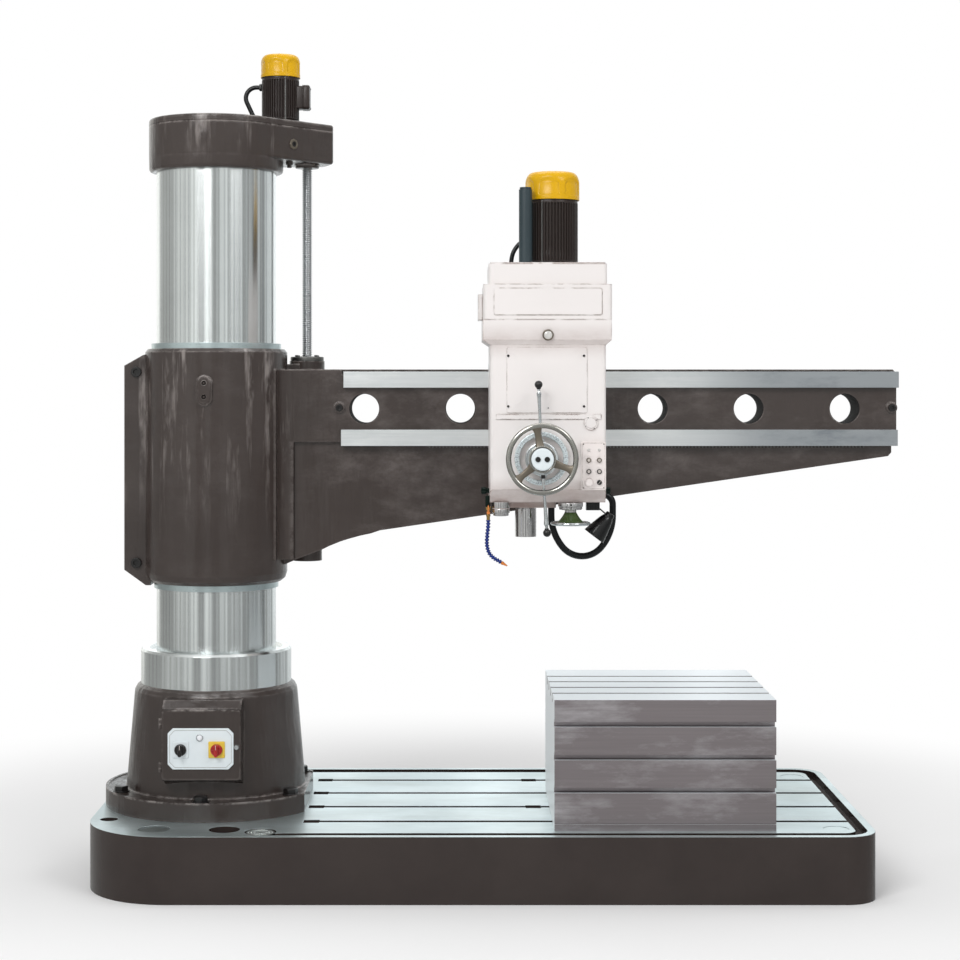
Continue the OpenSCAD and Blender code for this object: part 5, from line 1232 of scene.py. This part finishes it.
def makeHeadDetails(c):
    (x0, x1), (z0, z1) = c["cover"]
    plate = facing(block((x0, x1), (z0, z1), (-0.002, 0.004), 0.008, 0.0015), 0, c["front"], 0)
    makePiece("coverPanel", [plate], "white", "head", ["head_cover_panel"])
    seat = c["front"] - 0.0038
    screws = [facing(socketHead(0.0042, 0.0030, 32), x, seat, z) for x, z in c["coverScrews"]]
    x, z = c["smallScrew"]
    screws.append(facing(socketHead(0.0022, 0.0026, 24), x, seat, z))
    makePiece("coverScrews", screws, "black", "head", ())
    x, z = c["sight"]
    ring = rounded([(0.0140, 0.018), (0.0150, 0.0222), (0.0175, 0.0222), (0.0195, 0.019),
                    (0.0195, 0.007)], 0.001)
    glass = rounded([(0, 0.0232), (0.008, 0.0226), (0.0146, 0.0204), (0.0146, 0.016)], 0.002)
    makePiece("sightRing", [knob(ring, 56, x, c["front"], z)], "cast", "head", ())
    makePiece("sightGlass", [knob(glass, 56, x, c["front"], z)], "glass", "head", ())
    x, z = c["round"]
    disc = rounded([(0, 0.0066), (0.0178, 0.0066), (0.0184, 0.0060), (0.0190, 0.0066), (0.0235, 0.0066),
                    (0.0248, 0.0050), (0.0250, -0.001)], 0.0004, 3)
    makePiece("roundCover", [knob(disc, 64, x, c["front"], z)], "white", "head", ())
    small = [facing(socketHead(0.0019, 0.0022, 24), x + 0.0212 * cos(a), c["front"] - 0.006,
                    z + 0.0212 * sin(a))
             for a in np.radians([30, 120, 210, 300])]
    makePiece("roundCoverScrews", small, "black", "head", ())
    bush = rounded([(0, 1.313), (0.022, 1.313), (0.0275, 1.3150), (0.0275, 1.3235), (0.0312, 1.3245),
                    (0.0312, 1.3380), (0.0302, 1.3385), (0.0302, 1.3405), (0.0312, 1.3410), (0.0312, 1.3625)],
                   0.0006, 3)
    makePiece("bushCap", [turned(bush, 72) + (*c["capPlace"], 0)], "turned", "head", ())


makeHeadDetails(headDetails)
print("head details made")


# Fine feed wheel: chromed rim, enamelled cone, turned bush with a key screw
fineWheel = {
    "place": (1.291, -0.430),
    "rim": (0.064, 0.006, 1.287),  # radius of the ring, of its wire, and height
}


# Cone: at the share s of its height, the radius is 0.0585 - 0.0385 sqrt(s)
def makeFineWheel(c):
    place = (*c["place"], 0)
    ringRadius, wire, height = c["rim"]
    t = np.linspace(0, 2 * pi, 25)
    rim = turned(np.stack([ringRadius + wire * np.cos(t), height + wire * np.sin(t)], axis=1), 96)
    web = rounded([(0, 1.2840), (0.058, 1.2840), (0.0605, 1.2865), (0.058, 1.2895)], 0.001)
    makePiece("fineWheelRim", [rim + place, turned(web, 96) + place], "chrome", "fine_wheel",
              ["fine_feed_wheel"])
    s = np.linspace(0, 1, 20)
    cone = np.stack([0.0585 - 0.0385 * s ** 0.5, 1.2885 + 0.0385 * s], axis=1)
    makePiece("fineWheelCone", [turned(cone, 96) + place], "paleGreen", "fine_wheel", ())
    bush = rounded([(0, 1.326), (0.0205, 1.326), (0.0205, 1.3345), (0.039, 1.3355), (0.041, 1.339),
                    (0.041, 1.3455), (0.0435, 1.3465), (0.0435, 1.3600), (0.010, 1.3605), (0.010, 1.405),
                    (0, 1.405)], 0.0008, 3)
    makePiece("fineWheelBush", [turned(bush, 96) + place], "turned", "fine_wheel", ())
    x, y = c["place"]
    flat = block((-0.0014, 0.0014), (-0.012, 0), (-0.006, 0.0006), 0.0012, 0.0004)
    key = [facing(closed(turned([(0.0034, -0.004), (0.0034, 0.0008)], 24)), x, y - 0.0435, 1.3535),
           facing(flat, x, y - 0.0412, 1.3515)]
    makePiece("fineWheelKey", key, "black", "fine_wheel", ())


makeFineWheel(fineWheel)

# Work lamp: spun shade with a rolled rim and a bulb, on two rods from its pivot
lamp = {
    "y": -0.345,
    "pivot": (1.390, 1.341),
    "apex": (1.432, 1.307),
    "mouth": (1.379, 1.237),
    "rodGap": 0.007,
    "ribs": (1.355, 1.364, 1.373, 1.382, 1.391),
    "ribHeights": (1.333, 1.357),
    "front": -0.369,
}


# Shade: at the share s of its depth the radius is 0.0195 + 0.0215 s^0.8; bulb: 0.0165 sin(t)^0.9 wide at the
# depth 0.046 - 0.022 cos t
def makeLamp(c):
    apex, mouth, pivot = (np.array([p[0], c["y"], p[1]]) for p in (c["apex"], c["mouth"], c["pivot"]))
    way = mouth - apex
    reach = float(np.linalg.norm(way))
    s = np.linspace(0, 1, 12)
    outer = np.stack([0.0195 + 0.0215 * s ** 0.8, 0.006 + (reach - 0.006) * s], axis=1)
    t = np.linspace(-0.2, pi + 0.5, 10)
    roll = np.stack([0.0408 + 0.0012 * np.cos(t), reach + 0.0002 + 0.0012 * np.sin(t)], axis=1)
    inner = outer[::-1] - (0.0014, 0)
    neck = rounded([(0, -0.012), (0.011, -0.012), (0.016, -0.0105), (0.0172, -0.004), (0.0172, 0.003),
                    (0.0195, 0.006)], 0.0015)
    shade = turned(np.concatenate([neck, outer[1:], roll, inner[:-1], [(0.016, 0.008), (0, 0.008)]]), 72)
    rod = closed(swept(np.linspace(pivot, apex + way * 0.02, 12), 0.0025, steps=16))
    rods = [rod + (0, dy, 0) for dy in (-c["rodGap"], c["rodGap"])]
    barrel = rounded([(0.0045, -0.0122), (0.0072, -0.0122), (0.0072, 0.0122), (0.0045, 0.0122)], 0.001)
    barrel = facing(closed(turned(barrel, 36)), *pivot)
    makePiece("lampShade", [aimed(shade, apex, way), *rods, barrel], "lampBlack", "lamp", ["lamp_shade"])
    t = np.linspace(0.45, pi, 20)
    bulb = np.stack([0.0165 * np.sin(t) ** 0.9, 0.046 - 0.022 * np.cos(t)], axis=1)
    socket = rounded([(0, 0.009), (0.013, 0.009), (0.013, 0.024), (0.011, 0.027), (0, 0.027)], 0.001)
    makePiece("lampBulb", [aimed(turned(bulb, 48), apex, way)], "glass", "lamp", ())
    depth = (c["front"] - 0.003, c["front"] + 0.002)
    ribs = [block((x, x + 0.0045), depth, c["ribHeights"], 0.001, 0.0008) for x in c["ribs"]]
    makePiece("lampBaseRibs", ribs, "lampBlack", "head", ())
    makePiece("lampSocket", [aimed(turned(socket, 40), apex, way)], "pale", "lamp", ())


makeLamp(lamp)

# Hose loop under the head, and the motor lead on top, with their unions. The loop: two upright runs, two side
# arcs of the radius half + shift cos(turn), and a lower arc that is tighter by shift
conduits = {
    "y": -0.200,
    "loopX": (1.234, 1.456),
    "loopZ": 1.300,
    "loopDrop": 0.147,
    "loopTurn": 40,
    "radius": 0.012,
    "low": 1.361,
    "side": 1.412,
    "elbow": (1.340, 1.376),  # heights of its two ends
    "lead": (1.128, 2.285, 0.038, 0.008),  # X and Z at the motor, bend, radius
    "leadFoot": 2.199,
}


def makeConduits(c):
    y, (a, b), r = c["y"], c["loopX"], c["radius"]
    half, turn, high = (b - a) / 2, radians(c["loopTurn"]), c["loopZ"]
    (low, top), bend = c["elbow"], c["elbow"][1] - c["elbow"][0]
    shift = (c["loopDrop"] - half) / (sin(turn) + cos(turn) - 1)
    side = half + shift * cos(turn)
    path = np.concatenate([
        np.linspace((a, y, c["low"] - 0.004), (a, y, high), 8)[:-1],
        arcPath(a + side, y, high, side, 180, 180 + c["loopTurn"], 20),
        arcPath(a + half, y, high - shift * sin(turn), side - shift, 180 + c["loopTurn"], 360 - c["loopTurn"],
                40)[1:],
        arcPath(b - side, y, high, side, 360 - c["loopTurn"], 360, 20)[1:],
        np.linspace((b, y, high), (b, y, low), 6)[1:-1],
        arcPath(b - bend, y, low, bend, 0, 90, 16),
        np.linspace((b - bend, y, top), (c["side"] - 0.002, y, top), 3)[1:]])
    x, top, bend, thin = c["lead"]
    motorY = motors["main"]["centre"][1]
    lead = [(x + 0.004, top + 0.002), (x - 0.005, top), (x - 0.019, top - 0.014), (x - 0.032, top - 0.036),
            (x - bend, top - 0.062), (x - bend, c["leadFoot"] + 0.002)]
    lead = smoothPath([(leadX, motorY, leadZ) for leadX, leadZ in lead], 50)
    hoses = [closed(swept(path, r, steps=28)), closed(swept(lead, thin, steps=20))]
    makePiece("headHoses", hoses, "rubber", "head", ["head_conduits"])
    ferrule = rounded([(r, 0), (0.0142, 0.001), (0.0142, 0.016), (r, 0.018)], 0.001)
    dome = rounded([(0.021, 0), (0.021, 0.003), (0.014, 0.010), (0.0085, 0.0125), (0.0085, 0)], 0.002)
    grids = [aimed(hexHead(0.0155, 0.012), (a, y, c["low"]), (0, 0, -1)),
             aimed(turned(ferrule, 36), (a, y, c["low"] - 0.012), (0, 0, -1)),
             aimed(hexHead(0.0155, 0.010), (c["side"], y, c["elbow"][1]), (1, 0, 0)),
             turned(dome, 48) + (x - bend, motorY, c["leadFoot"])]
    makePiece("headHoseUnions", grids, "black", "head", ())


makeConduits(conduits)

# Star knobs of the two clamp screws: radius x (1 + 0.16 cos 5t) between their two faces
clampScrews = {
    "left": (1.008, -1),
    "right": (1.412, 1),
    "y": -0.300,
    "z": 1.395,
    "knob": 0.0112,
}


def makeClampScrew(name, x, way):
    r = clampScrews["knob"]

    def lobes(radius, h, t):
        return np.where(radius > r * 0.6, 1 + 0.16 * np.cos(5 * t), 1.0)

    star = rounded([(0.0, -0.018), (0.008, -0.018), (0.008, 0.010), (r, 0.011), (r, 0.027), (0.006, 0.029),
                    (0, 0.029)], 0.002)
    star = aimed(turned(star, 60, lobes), (x, clampScrews["y"], clampScrews["z"]), (way, 0, 0))
    makePiece("clampScrew_" + name, [star], "green", "clamp_screw_" + name, ["head_clamp_screw_" + name])


for side in ("left", "right"):
    makeClampScrew(side, *clampScrews[side])
print("hoses, lamp and knobs made")


# Switch box: bevelled plate with two square escutcheons and a lamp, the two rotary knobs, and the door lock
switches = {
    "face": -0.384,
    "plateX": (-0.126, 0.106),
    "plateZ": (0.417, 0.562),
    "chamfer": 0.018,
    "lineInset": 0.007,
    "height": 0.487,
    "isolator": -0.080,
    "pump": 0.047,
    "lamp": (-0.013, 0.529),
    "lock": (0.116, 0.494),
}


def makeSwitches(c):
    (a, b), (low, high), k, y = c["plateX"], c["plateZ"], c["chamfer"], c["face"]
    corners = [(a + k, low), (b - k, low), (b, low + k), (b, high - k), (b - k, high), (a + k, high),
               (a, high - k), (a, low + k)]
    plate = closed(walled(filleted(corners, 0.003), [(0, -0.001), (0, 0.0028), (0.0012, 0.004)], 4))
    square = block((-0.029, 0.029), (-0.029, 0.029), (0.003, 0.009), 0.004, 0.0018)
    grids = [facing(plate, 0, y, 0), facing(square, c["isolator"], y, c["height"])]
    makePiece("switchPlate", grids, "panel", "switch_door", ["switch_plate"])
    escutcheon = facing(square, c["pump"], y, c["height"])
    makePiece("pumpEscutcheon", [escutcheon], "switchYellow", "switch_door", ())
    e = c["lineInset"]
    inner = [(px + (e if px < (a + b) / 2 else -e), pz + (e if pz < (low + high) / 2 else -e))
             for px, pz in corners]
    section = [(0, 0.0036), (0, 0.0044), (0.0009, 0.0044), (0.0009, 0.0036)]
    frameLine = walled(filleted(inner, 0.002), section, 4)
    makePiece("switchPlateLine", [facing(frameLine, 0, y, 0)], "cast", "switch_door", ())
    lens = rounded([(0.0095, 0.003), (0.0095, 0.009), (0.0075, 0.0122), (0, 0.0132)], 0.0015)
    lampX, lampZ = c["lamp"]
    makePiece("mainsLamp", [knob(lens, 40, lampX, y, lampZ)], "lens", "switch_door", ())
    makePiece("mainsLampRing", [collar(0.0098, 0.0128, 0.0075, lampX, y, lampZ)], "chrome", "switch_door", ())
    lock = rounded([(0.0, 0.005), (0.006, 0.0055), (0.0090, 0.0045), (0.0105, 0)], 0.001)
    lockX, lockZ = c["lock"]
    makePiece("doorLock", [knob(lock, 36, lockX, y, lockZ)], "chrome", "switch_door", ())
    skirt = rounded([(0, -0.018), (0.008, -0.018), (0.008, 0.0095), (0.021, 0.0095), (0.021, 0.017),
                     (0.0175, 0.021), (0, 0.021)], 0.0012)
    grip = block((-0.0068, 0.0068), (-0.0215, 0.0215), (0.018, 0.0385), 0.0062, 0.003)
    line = block((-0.0010, 0.0010), (0.004, 0.0195), (0.038, 0.0390), 0.0009, 0.0003)
    for name, body, finish, slot in (("isolator", "isolator", "black", "black_plastic"),
                                     ("pump", "pump_switch", "red", "button_red")):
        place = (c[name], y, c["height"])
        makePiece(name + "Line", [facing(line, *place)], "pale", body, ())
        makePiece(name + "Knob", [knob(skirt, 56, *place), facing(grip, *place)], finish, body,
                  [body + "_knob"])


makeSwitches(switches)
print("switches made")


# Studio

studio = {
    "floorSize": 60.0,
    "fadeFrom": 1.7,
    "fadeTo": 3.6,
    "ambient": 0.5,
    "lamps": [  # name, place, aim, size across and up, watts
        ("keyLight", (-1.9, -6.4, 5.6), (0.6, 0, 1.4), (3.4, 2.4), 260),
        ("fillLight", (5.2, -5.2, 5.8), (0.9, 0, 1.2), (3.0, 2.4), 110),
        ("topLight", (1.0, 1.0, 6.5), (1.0, 0, 1.0), (4.0, 3.0), 100),
    ],
    "screenGrey": 0.58,
    "screenPanels": [  # what polished steel reflects: bearing from the camera's side, half width, both in
        # degrees, and grey
        (-158, 24, 1.10), (-104, 18, 0.46), (-60, 16, 0.72), (-36, 7, 0.90), (-22, 4, 0.36), (-10, 5, 0.92),
        (4, 4, 0.44), (20, 7, 0.78), (45, 7, 0.56), (76, 18, 0.44), (106, 7, 0.36), (130, 8, 0.74),
        (168, 24, 1.10),
    ],
    "screenStreaks": [(9.7, 0.20), (5.9, 0.20), (3.7, 0.16)],  # period in degrees, strength
    "screenTint": ((1.0, 1.0, 0.96), (0.96, 1.0, 1.01)),  # at the left and the right end
    "screenRows": [  # distance, height, brightness, how striped
        (0.3, 0.001, 0.62, 0.0), (9.0, 0.001, 0.72, 1.3), (9.0, 1.6, 0.92, 1.2), (9.0, 3.0, 1.0, 1.0),
        (9.0, 14.0, 1.05, 1.0),
    ],
}


def addFloor(s):
    size = s["floorSize"] / 2
    mesh = bpy.data.meshes.new("floor")
    corners = [(-size, -size, 0), (size, -size, 0), (size, size, 0), (-size, size, 0)]
    mesh.from_pydata(corners, [], [(0, 1, 2, 3)])
    floor = bpy.data.objects.new("floor", mesh)
    scene.collection.objects.link(floor)
    material, shader, place = startFinish("floorPaint", 0.7, specular=0.0)
    shader.inputs["Base Color"].default_value = (0.93, 0.93, 0.93, 1)
    centred = place.add("VectorMath", {"operation": "SUBTRACT"}, {0: place, 1: (1.0, 0.0, 0.0)})
    distance = place.add("VectorMath", {"operation": "LENGTH"}, {0: centred}, "Value")
    far = between(distance, s["fadeFrom"], s["fadeTo"])
    seen = far * place.add("LightPath", output="Is Camera Ray")
    light = place.add("Emission", None, {"Color": (1, 1, 1, 1), "Strength": 1.0})
    diffuse = Wire(place.tree, shader.outputs[0])
    both = place.add("MixShader", None, {0: seen, 1: diffuse, 2: light})
    place.tree.links.new(both.socket, place.tree.nodes["Material Output"].inputs["Surface"])
    mesh.materials.append(material)


def addWorld(s):
    world = bpy.data.worlds.new("studio")
    scene.world = world
    world.use_nodes = True
    tree = world.node_tree
    background = tree.nodes["Background"]
    paths = tree.nodes.new("ShaderNodeLightPath")
    camera, glossy, through = (Wire(tree, paths.outputs["Is %s Ray" % kind])
                               for kind in ("Camera", "Glossy", "Transmission"))
    seen = camera.math("MAXIMUM", camera, camera.math("MAXIMUM", glossy, through))
    strength = seen * (1 - s["ambient"]) + s["ambient"]
    tree.links.new(strength.socket, background.inputs["Strength"])
    background.inputs["Color"].default_value = (1, 1, 1, 1)


def addLamps(s):
    for name, place, aim, size, watts in s["lamps"]:
        data = bpy.data.lights.new(name, "AREA")
        data.shape = "RECTANGLE"
        data.size, data.size_y = size
        data.energy = watts
        lamp = bpy.data.objects.new(name, data)
        scene.collection.objects.link(lamp)
        direction = np.array(aim) - np.array(place)
        lamp.location = place
        flat = sqrt(direction[0] ** 2 + direction[1] ** 2)
        lamp.rotation_euler = (atan2(flat, -direction[2]), 0, atan2(-direction[0], direction[1]))


# Striped screen round the machine, and the floor before it, that only reflections see: at the bearing b and
# the distance d, x = d sin b, y = -d cos b; the grey ramps to each panel's own, times 1 + the streaks' sines
def addScreen(s):
    b = np.linspace(-185, 195, 1141)
    grey = np.full_like(b, s["screenGrey"])
    for bearing, half, level in s["screenPanels"]:
        share = np.clip((half - np.abs(b - bearing)) / 2.0 + 0.5, 0, 1)
        grey = grey * (1 - share) + level * share
    for period, strength in s["screenStreaks"]:
        grey = grey * (1 + strength * np.sin(2 * pi * b / period + period))
    share = ((b - b[0]) / (b[-1] - b[0]))[:, None]
    tint = np.array(s["screenTint"][0]) * (1 - share) + np.array(s["screenTint"][1]) * share
    around = np.stack([np.sin(np.radians(b)), -np.cos(np.radians(b))], axis=1)
    places, colours = [], []
    for distance, height, level, striped in s["screenRows"]:
        places.append(np.column_stack([around * distance, np.full(len(b), height)]))
        row = level * np.clip(grey.mean() + striped * (grey - grey.mean()), 0, None)
        colours.append(np.column_stack([row[:, None] * tint, np.ones(len(b))]))
    mesh = bpy.data.meshes.new("screen")
    mesh.from_pydata(np.concatenate(places).tolist(), [], gridFaces(len(places), len(b)).tolist())
    paint = mesh.attributes.new("grey", "FLOAT_COLOR", "POINT")
    paint.data.foreach_set("color", np.concatenate(colours).ravel())
    material = bpy.data.materials.new("screenLight")
    material.use_nodes = True
    tree = material.node_tree
    light, stripes = tree.nodes.new("ShaderNodeEmission"), tree.nodes.new("ShaderNodeAttribute")
    stripes.attribute_name = "grey"
    tree.links.new(stripes.outputs["Color"], light.inputs["Color"])
    tree.links.new(light.outputs[0], tree.nodes["Material Output"].inputs["Surface"])
    mesh.materials.append(material)
    screen = bpy.data.objects.new("screen", mesh)
    scene.collection.objects.link(screen)
    for rays in ("camera", "diffuse", "shadow", "transmission", "volume_scatter"):
        setattr(screen, "visible_" + rays, False)


addFloor(studio)
addWorld(studio)
addLamps(studio)
addScreen(studio)
scene.view_settings.view_transform = "Standard"
print("studio lit")
